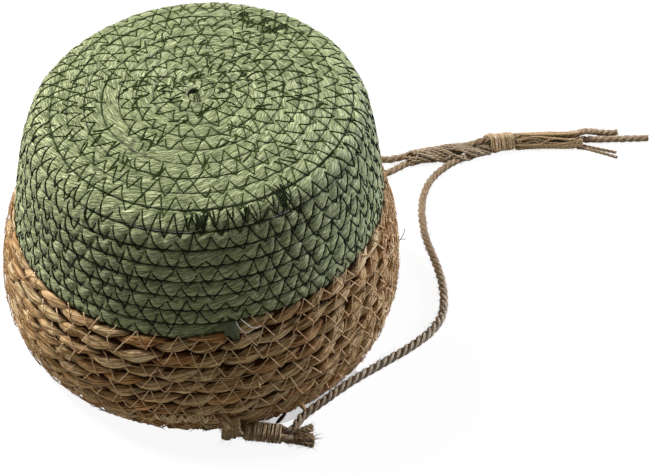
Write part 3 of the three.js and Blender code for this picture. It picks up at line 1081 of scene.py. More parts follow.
    def slivers(self) -> Shape:
        """Loose strips of leaf that lie on the rows, their ends a little raised.

        Returns:
            One shape.
        """
        wall = self.wall
        rng = seeded(300)
        count, points = self.sliver_count, 8
        each = (count, 1)
        start = rng.uniform(wall.green_turns + 0.3, wall.rim_turns - 0.6, each)
        size = rng.uniform(9 * MM, 34 * MM, each)
        share = np.linspace(0, 1, points)[None]
        length = wall.length(start) + size * share
        turn = wall.turn_at(length)
        drift = rng.uniform(-0.9, 0.9, each) + rng.uniform(-0.55, 0.35, each) * share
        bend = rng.uniform(-0.25, 0.25, each) * np.sin(np.pi * share)
        across = np.clip(drift + bend, -1.4, 1.4)
        raised = rng.uniform(0.0, 1.0, each) * MM * (2 * share - 1) ** 6
        lift = 3.95 * MM * np.sqrt(1 - (across / 2.1) ** 2) + 0.25 * MM + raised
        distance = wall.row_pitch * turn + across * wall.row_pitch / 2
        line = wall.on(turn, distance, lift)
        tangent = unit(np.gradient(line, axis=1))
        out = unit(wall.on(turn, distance, lift + 1 * MM) - line)
        side = unit(np.cross(tangent, out))
        wide = rng.uniform(0.2, 0.7, each) * MM * (0.25 + 0.75 * np.sin(np.pi * (0.08 + 0.84 * share)))
        corners = ((1, 0), (0.4, 1), (-0.4, 1), (-1, 0), (0, -0.6))
        rings = np.stack(
            [line + side * (wide * a)[..., None] + out * (0.16 * MM * b) for a, b in corners], 2
        )
        around = np.linspace(0, 4 * MM, len(corners) + 1)
        return tubes(rings, length, around, np.broadcast_to(rng.random(each), (count, points)))

    def fibres(self) -> Shape:
        """Fine curled fibres that lie on the rows, most of them on the right and left sides.

        Each keeps turning by the same angle from step to step, so it is an arc on the wall.

        Returns:
            One shape.
        """
        wall = self.wall
        rng = seeded(310)
        count, points = self.fibre_count, 9
        each = (count, 1)
        share = np.linspace(0, 1, points)[None]
        side, spread = rng.random(each), rng.normal(0, 1, each)
        angle = np.where(side < 0.65, 198 + 24 * spread, rng.uniform(0, 360, each))
        angle = np.where(side < 0.38, 36 * spread, angle)
        start = wall.green_turns + ((angle - 278.8) % 360) / 360
        top = wall.row_pitch * (start - 0.5) + 1.5 * MM
        place = top + (wall.rim_edge - 5 * MM - top) * rng.random(each)
        size = rng.uniform(4, 15, each) * MM
        bearing = rng.uniform(0, 2 * np.pi, each) + rng.normal(0, 1.3, each) * (2 * share - 1)
        distance = place + np.cumsum(np.sin(bearing), axis=1) * 0.6 * size / points
        distance = np.clip(distance, top, wall.rim_edge - 5 * MM)
        turn = wall.turn_of(angle) + np.cumsum(np.cos(bearing), axis=1) * size / points / self.girth
        most = np.where((side < 0.38) | (side >= 0.65), 1.2 * MM, 0.3 * MM)
        raised = rng.uniform(0, 1, each) * most * (2 * share - 1) ** 4
        lift = (4.4 + rng.uniform(-0.1, 0.3, each)) * MM + raised
        return Thread(wall, 0.13 * MM, 4).legs(turn, distance, lift, rng.random(each))


@dataclass
class BeigeSewing(Sewing):
    """The pale thread on the natural rows: straight legs that cross each groove."""

    stitching: Stitching | None = None
    points_in_leg: int = 5
    few_side: float = 185.0

    def legs(self) -> Shape:
        """Both legs of every stitch, bridging the grooves; few are left on the left side.

        Returns:
            One shape.
        """
        wall, sewing = self.wall, self.stitching
        number, a, up, down, nxt = sewing.between(wall.green_turns - 0.5, wall.rim_turns - 0.55)
        off = np.abs(wall.angle_at(sewing.turn_at(number[:, 0])) - self.few_side)
        share = np.linspace(0, 1, self.points_in_leg)[None]
        rng = seeded(41)
        shapes = []
        for phase, offset in (
            (number + a * share, -up + (up + down) * share),
            (number + a + (1 - a) * share, down - (down + nxt) * share),
        ):
            keep = rng.random(len(number)) > 0.14 + 0.72 * clipped(1.6 - off / 45)
            phase, offset = phase[keep], offset[keep]
            turn = sewing.turn_at(phase)
            distance = wall.row_pitch * (turn + 0.5) + offset
            in_row = ((offset / wall.row_pitch) % 1) * 2 - 1
            lift = (4.5 - 0.7 * in_row**2) * MM + rng.uniform(-0.1, 0.3, (len(turn), 1)) * MM
            shapes.append(self.thread.legs(turn, distance, lift, rng.random((len(turn), 1)), 0.7 * MM))
        return joined(shapes)

    def crowd(self, angle: float, distance: float, count: int, seed: int) -> Shape:
        """A crowd of tight zigzag legs sewn close to each other.

        Args:
            angle: Degrees round the basket of its middle.
            distance: Distance from the crown of its middle.
            count: How many corners.
            seed: For the random places.

        Returns:
            One shape.
        """
        wall, rng = self.wall, seeded(seed)
        corner = np.arange(count)
        along = (corner - (count - 1) / 2) * 2.1 * MM + rng.uniform(-0.7, 0.7, count) * MM
        place = distance + np.where(corner % 2, 1, -1) * rng.uniform(2.0, 3.6, count) * MM
        share = np.linspace(0, 1, 5)[None]
        along = along[:-1, None] + (along[1:] - along[:-1])[:, None] * share
        place = place[:-1, None] + (place[1:] - place[:-1])[:, None] * share
        radius = float(wall.at(distance, 0.0)[0]) + 4 * MM
        turn = wall.turn_of(angle) + along / (2 * np.pi * radius)
        lift = 4.8 * MM + rng.uniform(0, 0.4, (count - 1, 1)) * MM
        return self.thread.legs(turn, place, lift, 1.0, 0.5 * MM)

    def slack_loops(self) -> Shape:
        """Two slack loops of thread that stand off the rows beside the join.

        Their points are a distance from the crown and degrees.

        Returns:
            One shape.
        """
        loops = (
            ((123.9, 278.6), (127.6, 279.3), (130.4, 280.3), (131.8, 281.5), (131.0, 283.3)),
            ((123.3, 280.0), (126.3, 281.4), (128.8, 282.6), (130.3, 284.2), (130.0, 285.6)),
        )
        shapes = []
        for loop in loops:
            line = smooth_line(np.array(loop))[::4]
            lift = (5.0 + 1.3 * np.sin(np.pi * np.linspace(0.1, 0.9, len(line)))) * MM
            shapes.append(self.thread.tube(self.wall.turn_of(line[:, 1]), line[:, 0] * MM, lift))
        return joined(shapes)

    def loose(self) -> Shape:
        """Crowds of stitches near the rim, and a few more on the right.

        Returns:
            One shape.
        """
        return joined([
            *(self.crowd(262.5 + 0.5 * k, 181.6 * MM, 13, 42 + k) for k in range(3)),
            self.tangle(20.0, 135 * MM, (9 * MM, 6 * MM), 16, 7 * MM, 43, 0.8),
            self.tangle(-5.0, 150 * MM, (16 * MM, 12 * MM), 22, 7 * MM, 44, 0.6),
        ])


# Ropes


@dataclass
class TwistedRope:
    """Twisted jute along a line: a rope of three strands, or a yarn of two."""

    line: Array
    radius: float = 2.1 * MM
    lay: float = 13.5 * MM
    twist: Twist = Twist.Z
    step: float = 0.8 * MM
    sides: int = 24
    strands: int = 3
    seed: int = 1
    loosened: Triple = (0.0, 1.0, 0.0)
    tones: tuple[Pair, ...] = ((0.0, 0.5),)

    def shape(self) -> Shape:
        """The rope's mesh: the outline of three round strands, turned steadily along the line.

        With strands of radius a whose middles lie c from the rope's, the outline's radius at an
        angle p from a strand's middle is c cos p + sqrt(a^2 - c^2 sin^2 p). Where it is loosened,
        a bell of the distance swells it. The tones are pairs of a distance in millimetres and a
        tint that paints the jute darker or paler along its length; on the front rope they are
        painted light and shade, paler where it lies in the basket's shadow and darker where it is
        lit. The grooves between the strands get painted shade.

        Returns:
            Its mesh, with the finish running along the strands.
        """
        line, along = evenly(self.line, self.step)
        rng = seeded(self.seed)
        c = self.radius * 0.43
        a = self.radius - c
        theta, half = circle(self.sides), np.pi / self.strands
        across_strand = (theta + half) % (2 * np.pi / self.strands) - half
        edge = c * np.cos(across_strand) + np.sqrt(a**2 - (c * np.sin(across_strand)) ** 2)
        uneven = 1 + 0.07 * wander(rng, along, 5 * MM)[:, None] * np.cos(
            theta + 3 * wander(rng, along, 20 * MM)[:, None]
        )
        turned = self.twist.value * 2 * np.pi * along / self.lay + 0.25 * wander(rng, along, 14 * MM)
        angle = theta + turned[:, None]
        where, width, extra = self.loosened
        swell = 1 + extra * np.exp(-(((along - where) / width) ** 2))
        reach = edge[None] * uneven * swell[:, None]
        rings = swept(line, reach * np.cos(angle), reach * np.sin(angle))
        around = np.linspace(0, 2 * np.pi * self.radius * 1.3, self.sides + 1)
        # Painted shade in the grooves between the strands.
        deep = np.broadcast_to((edge.max() - edge) / (edge.max() - edge.min()), reach.shape)
        places, tints = np.array(self.tones).T
        tint = np.interp(along, places * MM, tints)
        if len(tints) > 1:
            tint = tint + 0.08 * wander(rng, along, 12 * MM)
        return tubes(rings, along[None], around, clipped(tint)[None], deep[None])


@dataclass
class Fuzz:
    """Stray fibres that stand off a rope."""

    line: Array
    radius: float
    count: int
    seed: int
    longest: float = 6 * MM
    thickness: float = 0.07 * MM
    from_share: float = 0.0

    def shape(self) -> Shape:
        """Curved hairs: each starts on the rope, leans along it and curls.

        Returns:
            Three-sided tubes as one shape.
        """
        rng = seeded(self.seed)
        line, _ = evenly(self.line, 1 * MM)
        tangent, side, normal = carried(line)
        at = rng.integers(int(self.from_share * (len(line) - 1)), len(line), self.count)
        angle = rng.uniform(0, 2 * np.pi, self.count)[:, None]
        out = side[at] * np.cos(angle) + normal[at] * np.sin(angle)
        around = np.cross(tangent[at], out)
        size = (rng.beta(1.2, 3.0, self.count) * self.longest + 0.8 * MM)[:, None, None]
        t = np.linspace(0, 1, 5)[None, :, None]
        lean = rng.normal(0, 1, (self.count, 1, 1))
        curl = rng.normal(0, 0.5, (self.count, 1, 1))
        rise = rng.uniform(0.15, 0.8, (self.count, 1, 1))
        line3 = (
            line[at][:, None]
            + out[:, None] * (self.radius * 0.9 + size * rise * t)
            + tangent[at][:, None] * size * lean * t
            + around[:, None] * size * curl * t**2
        )
        line3[..., 2] = np.maximum(line3[..., 2], 0.25 * MM)
        along = np.broadcast_to(size[..., 0] * t[..., 0], line3.shape[:2])
        direction = unit(np.gradient(line3, axis=1))
        one = unit(np.cross(direction, np.array([0.31, 0.52, 0.8])))
        two = np.cross(direction, one)
        turn = circle(3)[:, None]
        thin = self.thickness * (1 - 0.6 * t)[..., None]
        rings = line3[:, :, None] + thin * (
            one[:, :, None] * np.cos(turn) + two[:, :, None] * np.sin(turn)
        )
        return tubes(rings, along, np.linspace(0, 1 * MM, 4), rng.random((self.count, 1)))


@dataclass
class Winding:
    """Twine wound round ropes that lie side by side."""

    lanes: Array
    reach: float
    turns: float
    half_length: float
    twine: float
    place: Callable[[Array, Array, Array], Array]
    uneven: float = 0.0
    seed: int = 3
    overlap: float = 0.0
    tilt: float = 0.0
    knot: float = 0.0

    def line(self) -> Array:
        """The twine's middle: it hugs the hull of the ropes and moves on steadily.

        In each direction it passes round the lane that lies furthest that way. A tilt makes the
        turns lean, and a knot is a bell that swells the first ones.

        Returns:
            Points of the line.
        """
        angle = np.linspace(0, 2 * np.pi * self.turns, int(90 * self.turns))
        out = np.stack([np.cos(angle), np.sin(angle)], 1)
        lane = np.argmax(out @ self.lanes.T, axis=1)
        flat = self.lanes[lane] + out * self.reach
        rng = seeded(self.seed)
        share = np.linspace(-1, 1, len(angle))
        moved = self.half_length * share + self.uneven * wander(rng, angle, 1.1) - self.tilt * out[:, 0]
        swell = self.overlap * np.maximum(0, wander(rng, angle, 2.2))[:, None]
        swell = swell + self.knot * np.exp(-(((share + 0.6) / 0.3) ** 2))[:, None]
        flat = flat + out * swell
        return self.place(moved, flat[:, 0], flat[:, 1])

    def shape(self) -> Shape:
        """The twine as a closed round tube with a slight twist, with painted shade in the grooves between
        turns.

        Returns:
            Its mesh.
        """
        line, along = evenly(self.line(), 0.8 * MM)
        angle = circle(8)
        radius = self.twine / 2 * (1 + 0.10 * np.cos(2 * (angle[None] + along[:, None] / (1.1 * MM))))
        rings = swept(line, radius * np.cos(angle), radius * np.sin(angle))
        width = max(3, int(len(line) / self.turns))
        padded = np.pad(line, ((width // 2, width - 1 - width // 2), (0, 0)), mode="edge")
        middle = np.lib.stride_tricks.sliding_window_view(padded, width, axis=0).mean(axis=-1)
        # Painted shade: darker on the sides that face into the winding.
        out = (unit(rings - line[:, None]) * unit(line - middle)[:, None]).sum(axis=-1)
        deep = clipped(1.1 - 1.2 * out)
        return tubes(rings, along[None], np.linspace(0, np.pi * self.twine, 9), 0.5, deep)


@dataclass
class RopeEye:
    """Where a rope passes twice through the wall and comes back beside itself."""

    wall: Wall
    angle: float
    side: int
    rope: float = 2.1 * MM
    gap: float = 0.4 * MM
    leaf_depth: float = 8.4 * MM
    twine: float = 1.0 * MM
    lane_start: float = 7.2 * MM
    lane_length: float = 17 * MM
    lane_turn: float = 17.0
    lane_clearance: float = 3.3 * MM
    tail_length: float = 17 * MM
    tail_bend: float = 3 * MM
    floor_gap: float = 0.1 * MM
    lower_hole: float = field(init=False)
    upper_hole: float = field(init=False)
    offset: float = field(init=False)
    lane_height: float = field(init=False)
    lane: Array = field(init=False)
    inner_start: Pair = field(init=False)
    outer_start: Pair = field(init=False)

    def __post_init__(self) -> None:
        """Works out where the holes and the two lanes are."""
        pitch = self.wall.row_pitch
        share = self.wall.turn_of(self.angle) % 1
        rows = math.floor((self.wall.rim_edge - 6 * MM) / pitch - share - 0.5)
        self.lower_hole = pitch * (share + rows + 0.5)
        self.upper_hole = self.lower_hole - 2 * pitch
        self.offset = self.leaf_depth / 2 + self.gap + self.rope
        self.lane_height = self.rope + self.gap + 1.5 * self.twine + self.floor_gap
        foot = float(self.wall.at(self.wall.rim_edge - self.rope, self.offset)[0])
        turn, width = math.radians(self.lane_turn), 2 * self.rope + self.gap
        self.lane = np.array([math.cos(turn), math.sin(turn)])
        x, y = self.inner_start = (self.lane_start, foot + self.lane_clearance)
        self.outer_start = (x - width * self.lane[1], y + width * self.lane[0])

    def place(self, along: Array, radius: Array, height: Array) -> Array:
        """Points beside the eye.

        Args:
            along: Distance along the rim.
            radius: Distance from the basket's axis.
            height: Height.

        Returns:
            Points, shape (..., 3).
        """
        a = math.radians(self.angle)
        x = radius * math.cos(a) + along * (self.side * -math.sin(a))
        y = radius * math.sin(a) + along * (self.side * math.cos(a))
        return np.stack(np.broadcast_arrays(x, y, height), -1)

    def on_lane(self, start: Pair, distance: float, z: float, inwards: float = 0.0) -> Array:
        """A point at a distance along a lane, at a height, and so far off it towards the basket."""
        along, radius = np.array(start) + self.lane * distance
        return self.place(along, radius - inwards, z)

    def inner(self, distance: float, z: float, inwards: float = 0.0) -> Array:
        """A point of the lane that the free rope leaves by."""
        return self.on_lane(self.inner_start, distance, z, inwards)

    def outer(self, distance: float, z: float, inwards: float = 0.0) -> Array:
        """A point of the lane that the tail lies in."""
        return self.on_lane(self.outer_start, distance, z, inwards)

    def on_wall(self, shift: float, distance: float, offset: float) -> Array:
        """A point at the wall, no lower than a rope on the floor."""
        r, z = self.wall.at(distance, offset)
        return self.place(shift, r, np.maximum(z, self.rope + self.floor_gap))

    def line(self) -> Array:
        """The eye's middle line, from the tail's cut end to where the free rope begins.

        Returns:
            Points of the line.
        """
        w, g, r, o = self.on_wall, self.gap, self.rope, self.offset
        low, high = self.lower_hole, self.upper_hole
        mid, length = (low + high) / 2, self.lane_length
        floor = r + self.floor_gap
        points = [
            self.outer(length + self.tail_length, floor, self.tail_bend),
            self.outer(length + self.tail_length / 2, floor, self.tail_bend / 4),
            self.outer(length, self.lane_height),
            self.outer(4 * MM, self.lane_height, 0.6 * MM),
            w(-0.8 * MM, low + r, o + 0.5 * r),
            w(-2.8 * MM, low - 2 * r, o + g),
            w(-3 * MM, mid, o),
            w(-3 * MM, high + r, o),
            w(-3 * MM, high, 0),
            w(-3 * MM, high + r, -o),
            w(-0.5 * MM, mid, -o - g),
            w(2 * MM, low - r, -o),
            w(2 * MM, low, 0),
            self.inner(0, self.lane_height),
            self.inner(length / 2, self.lane_height),
            self.inner(length, self.lane_height),
        ]
        return self.wall.lean(smooth_line(np.array(points)))

    def seizing(self) -> Winding:
        """The twine round the two ropes of the eye.

        Returns:
            Its winding.
        """
        along, out = self.lane
        middle = [(self.inner_start[k] + self.outer_start[k]) / 2 for k in (0, 1)]
        width = 2 * self.rope + self.gap

        def place(distance: Array, across: Array, rise: Array) -> Array:
            """Points round the lanes.

            Args:
                distance: Along them, from their middle.
                across: Sideways.
                rise: Up.

            Returns:
                Points, shape (..., 3).
            """
            d = self.lane_length / 2 + distance
            flat = self.place(
                middle[0] + along * d - out * across,
                middle[1] + out * d + along * across,
                self.lane_height + rise,
            )
            return self.wall.lean(flat)

        return Winding(
            np.array([[width / 2, 0], [-width / 2, 0]]), self.rope + 0.42 * MM, 22,
            self.lane_length / 2 + 0.3 * MM, 0.9 * MM, place, 0.5 * MM, int(self.angle) + 300, 0.25 * MM,
        )

    def frayed(self) -> list[Shape]:
        """Yarns that splay from the tail's cut end, each with an end of its own.

        Returns:
            Their tubes.
        """
        yarns = []
        start = self.outer(self.lane_length + 5 * MM, 2.6 * MM)
        for number, (spread, rise, size) in enumerate(
            ((8.0, 1.6, 1.5), (5.0, 3.4, 1.4), (2.0, 1.7, 1.5), (-1.4, 3.2, 1.4), (-4.0, 1.6, 1.4))
        ):
            length = self.lane_length + self.tail_length + (0.5 - 0.4 * number) * MM
            end = self.outer(length, rise * MM, self.tail_bend + spread * MM)
            middle = start * 0.45 + end * 0.55 + np.array([0, 0, 0.9 * MM])
            bend = np.array([0.3, -0.3, 0]) * (1 if spread > 0 else -1)
            middle = middle + 0.18 * (start - end)[[1, 0, 2]] * bend
            line = smooth_line(np.array([start, middle, end]))
            yarn = TwistedRope(line, size * MM, 7 * MM, Twist.S, 0.7 * MM, sides=15, seed=number + 40)
            yarns += [
                yarn.shape(), Fuzz(line, size * MM, 40, number + 80, 3.5 * MM, 0.10 * MM, 0.5).shape(),
            ]
        return yarns

    def yarns(self) -> list[Shape]:
        """Slack yarns that come down the wall beside the rope and spread into the lanes.

        Returns:
            Their tubes.
        """
        w, o, high, low = self.on_wall, self.offset, self.upper_hole, self.lower_hole
        shapes, routes = [], []
        for number, share in enumerate(np.linspace(0, 1, 10)):
            inwards, shift = (0.2 + 6.0 * share) * MM, (-4.6 + 7.4 * share) * MM
            proud = (2.4 - 0.9 * share + 0.6 * (number % 3)) * MM
            routes.append([
                w(shift * 0.9, high, o - 1.5 * MM),
                w(shift, high + 5 * MM, o + (1.5 + 0.8 * (number % 2)) * MM),
                w(shift * 0.8 + 3.4 * share * MM, low - 2 * (1 - share) * MM, o + proud),
                self.outer(-1 * MM, 4.2 * MM, inwards * 0.8 + (5 - 3 * share) * MM),
                self.outer(2.5 * MM, 4.6 * MM - 0.1 * MM * number, inwards * 0.5 + 3 * MM),
                self.outer(7 * MM, 4.6 * MM, inwards),
            ])
        for share in np.linspace(0, 1, 7):
            shift = (-2.5 + 5.5 * share) * MM
            routes.append([
                w(shift, high + 10 * MM, o + 0.4 * MM),
                w(shift, low, o - 0.2 * MM),
                self.place(
                    (0.2 + 3.4 * share) * MM, self.inner_start[1] - (2.8 - 4.4 * share) * MM, 3.2 * MM
                ),
                self.inner(1 * MM, 4.6 * MM, -1 * MM),
                self.inner(7 * MM, 4.6 * MM, -1 * MM),
            ])
        for number, points in enumerate(routes):
            line = self.wall.lean(smooth_line(np.array(points)))
            yarn = TwistedRope(line, 0.9 * MM, 5 * MM, sides=10, strands=2, seed=number + 90)
            shapes += [yarn.shape(), Fuzz(line, 0.8 * MM, 25, number + 95, 3 * MM, 0.08 * MM).shape()]
        return shapes

    def exit(self, distance: float) -> Array:
        """A point of the inner lane, leant as the wall is."""
        return self.wall.lean(self.inner(distance, self.lane_height))


@dataclass
class Hanger:
    """The three ropes, their gather and their cut ends."""

    wall: Wall
    rope: float = 2.1 * MM
    gather_start: Pair = (169.8, 113.4)
    gather_end: Pair = (186.5, 115.7)
    lane_spacing: float = 4.8
    floor_height: float = 2.2
    front_swell: Triple = (100 * MM, 70 * MM, 0.15)
    # Painted light and shade along the front rope: paler where it lies in the basket's shadow, darker
    # where it is lit.
    front_painted_light: tuple[Pair, ...] = (
        (0, 0.42), (22, 0.5), (42, 0.72), (70, 0.95), (120, 0.95), (138, 0.8), (160, 0.4),
        (190, 0.15), (245, 0.2), (262, 0.5),
    )
    eyes: dict[str, RopeEye] = field(init=False)

    def __post_init__(self) -> None:
        """Makes the eyes."""
        self.eyes = {
            "front": RopeEye(self.wall, -83.5, 1),
            "right": RopeEye(self.wall, 41.0, 1),
            "left": RopeEye(self.wall, 157.0, -1),
        }

    @property
    def lanes(self) -> Array:
        """Middles of the three ropes in the gather, in millimetres: top, near and far."""
        a = np.radians([90, 210, 330])
        return self.lane_spacing / 2 / math.sin(math.pi / 3) * np.stack([np.cos(a), np.sin(a)], 1)

    @property
    def bundle_height(self) -> float:
        """Height of the gather's middle, in millimetres: rope, gap, twine and floor gap under a lane."""
        return float(-self.lanes[1, 1] + 2.1 + 0.4 + 1.1 + 0.1)

    def in_gather(self, share: float, lane: Array) -> Triple:
        """Where a rope's lane passes in the gather.

        Args:
            share: The share of the way through.
            lane: The lane's middle.

        Returns:
            The point, in millimetres.
        """
        start, end = np.array(self.gather_start), np.array(self.gather_end)
        d = unit(end - start)
        x, y = start + (end - start) * share
        return (x - d[1] * lane[0], y + d[0] * lane[0], self.bundle_height + lane[1])

    def routes(self) -> dict[str, Array]:
        """Each free rope's line, from its eye over the floor and through the gather to its cut end.

        Returns:
            Lines in metres.
        """
        top, near, far = self.lanes
        h = self.floor_height

        def floor(*points: Pair) -> list[Triple]:
            """Points on the floor."""
            return [(x, y, h) for x, y in points]

        routes = {
            "front": [
                *floor((46, -86.5), (57.3, -77), (71.5, -65.8), (86, -56.2), (102.5, -45.3)),
                *floor((114.5, -35.5), (122.4, -25), (126, -12), (126.8, 3), (125.6, 18), (123.3, 36)),
                *floor((123.6, 54), (126.5, 70), (132, 83), (140.4, 93.6), (151, 101.8), (160, 106.5)),
                self.in_gather(0, near), self.in_gather(1, near),
                *floor((200, 113.8), (213, 113.8), (225, 112.9)),
            ],
            "right": [
                *floor((46, 95), (38, 110), (33, 128), (33.5, 146), (42, 161), (57, 167), (72, 160)),
                *floor((81, 145), (88, 127), (97, 111.5), (108.7, 104.8), (118, 106.3), (128, 110.2)),
                *floor((140, 112.8), (154, 114.5)),
                self.in_gather(0, far), self.in_gather(1, far),
                *floor((200, 118.6), (214, 118.6), (228, 118.2), (241, 117.6)),
                *floor((255, 117.4), (269.9, 117.4)),
            ],
            "left": [
                *floor((-74, 79), (-58, 91.5), (-38, 100), (-14, 105), (6, 107)),
                (22, 108, h + 2), (38, 108, h + 5.4), (54, 106.5, h + 2),
                *floor((70, 103.5), (84, 98.5), (98, 93), (108.5, 92.8), (117, 98)),
                *floor((126, 103.4), (137, 107.2)),
                (148, 109, h + 0.8), (159, 111.2, h + 3.4),
                self.in_gather(0, top), self.in_gather(1, top),
                (200, 116.2, h + 4.2), (214, 116.4, h + 4.4), (224, 117.4, h + 4.8),
                (231, 119.8, h + 4.7), (238, 122.6, h + 2), *floor((245, 123.4), (252.6, 123.6)),
            ],
        }
        lines = {}
        for name, points in routes.items():
            eye = self.eyes[name]
            start = eye.exit(eye.lane_length)
            away = unit(start - eye.exit(eye.lane_length - 2 * self.rope))
            lead = [start + away * 0.3 * MM, start + away * 2 * self.rope]
            lines[name] = smooth_line(np.vstack([lead, np.array(points) * MM]))
        return lines

    def whipping(self) -> Winding:
        """The twine round the three ropes, fourteen tight turns.

        Returns:
            Its winding.
        """
        start, end = np.array(self.gather_start) * MM, np.array(self.gather_end) * MM
        direction = unit(end - start)
        middle = (start + end) / 2

        def place(distance: Array, across: Array, rise: Array) -> Array:
            """Points round the gather.

            Args:
                distance: Along it, from its middle.
                across: Sideways.
                rise: Up.

            Returns:
                Points, shape (..., 3).
            """
            x = middle[0] + direction[0] * distance - direction[1] * across
            y = middle[1] + direction[1] * distance + direction[0] * across
            return np.stack([x, y, settled(self.bundle_height * MM + rise)], -1)

        return Winding(
            self.lanes * MM, self.rope + 0.35 * MM, 14, 7.3 * MM, 1.2 * MM, place, 0.4 * MM, 77,
            0.35 * MM, tilt=1.5 * MM, knot=0.6 * MM,
        )

    def slack_before(self) -> list[Shape]:
        """Slack yarns that wind loosely round the two ropes before the gather.

        Each goes round an ellipse about the bundle's middle, one turn in 48 mm, with a wander.

        Returns:
            Their tubes and fibres.
        """
        middle = [(120, 102.4), (128, 105.2), (136, 106.8), (146, 107.6), (158, 108.9), (171, 112.2)]
        line, at, across = flat_path(middle, 1.6)
        rng, shapes = seeded(72), []
        wide = 4.4 + 1.5 * np.exp(-(((at - 33) / 14) ** 2))
        for number in range(34):
            angle = rng.uniform(0, 2 * np.pi) + 2 * np.pi * at / 48 + 0.35 * wander(rng, at, 12)
            reach = 0.85 + 0.25 * rng.random() + 0.1 * wander(rng, at, 9)
            off, high = wide * reach * np.cos(angle), 3.0 + 0.6 * wide * reach * np.sin(angle)
            places = np.column_stack([line + across * off[:, None], high])
            places = places[int(8 * rng.random()) :] * MM
            yarn = TwistedRope(places, 0.78 * MM, 6 * MM, Twist.Z, 0.9 * MM, 8, 2, number + 220)
            yarn.tones = ((0, 0.68),)
            shapes += [yarn.shape(), Fuzz(places, 0.6 * MM, 34, number + 260, 3 * MM, 0.07 * MM).shape()]
        return shapes

    def slack(self) -> list[Shape]:
        """Slack yarns and fibres that fill the bundle past the gather.

        Each follows the bundle's middle, off to its side and up by amounts that wander.

        Returns:
            Their tubes.
        """
        after = [self.gather_end, (197, 116.2), (209, 116.3), (221, 115.6), (228, 116.6)]
        rng, shapes = seeded(71), []
        line, at, across = flat_path(after, 2.0)
        for number in range(10):
            off = 3.6 * np.clip(rng.uniform(-0.9, 0.9) + 0.3 * wander(rng, at, 16), -1, 1)
            rise = 1 + np.clip(rng.uniform(-1, 1) + 0.5 * wander(rng, at, 14), -1, 1)
            high = 1.2 + 2.3 * rise * (1 - 0.5 * np.abs(off) / 3.6)
            places = np.column_stack([line + across * off[:, None], high])
            places = places[int(rng.integers(0, 4)) :] * MM
            yarn = TwistedRope(places, 0.75 * MM, 5 * MM, Twist.Z, 0.9 * MM, 10, 2, number + 120)
            shapes += [yarn.shape(), Fuzz(places, 0.7 * MM, 30, number + 140, 3 * MM, 0.07 * MM).shape()]
        line, at, across = flat_path(after, 1.6)
        for number in range(24):
            angle = np.radians(rng.uniform(-30, 210) + 16 * wander(rng, at, 12))
            out = np.stack([np.cos(angle), np.sin(angle)], 1)
            pull = np.exp(1.6 * out @ self.lanes.T)
            spot = (pull / pull.sum(axis=1, keepdims=True)) @ self.lanes
            spot = spot + out * (2.15 + 0.25 * rng.random())
            places = np.column_stack(
                [line + across * spot[:, :1], self.bundle_height - 1.0 + spot[:, 1]]
            )
            places = places[int(rng.integers(0, 5)) : len(places) - int(12 * rng.random() ** 1.5)] * MM
            yarn = TwistedRope(places, 0.72 * MM, 5 * MM, Twist.Z, 0.9 * MM, 8, 2, number + 160)
            shapes += [
                yarn.shape(), Fuzz(places, 0.55 * MM, 30, number + 180, 2.4 * MM, 0.06 * MM).shape(),
            ]
        return shapes

    def unlaid(self) -> dict[str, Array]:
        """The two strands of the front rope's unlaid end.

        Returns:
            Their lines in metres, by the CAD node's name.
        """
        far = [(225.4, 114), (231, 112.7), (236, 110.8), (242, 108.5), (248.1, 106.1)]
        near = [(225.4, 111.7), (231, 110.3), (236, 107.8), (241.5, 105), (247.5, 101.4)]
        return {
            f"front_rope_{name}_strand": smooth_line(np.array([(x, y, 1.1) for x, y in points]) * MM)
            for name, points in (("far", far), ("near", near))
        }


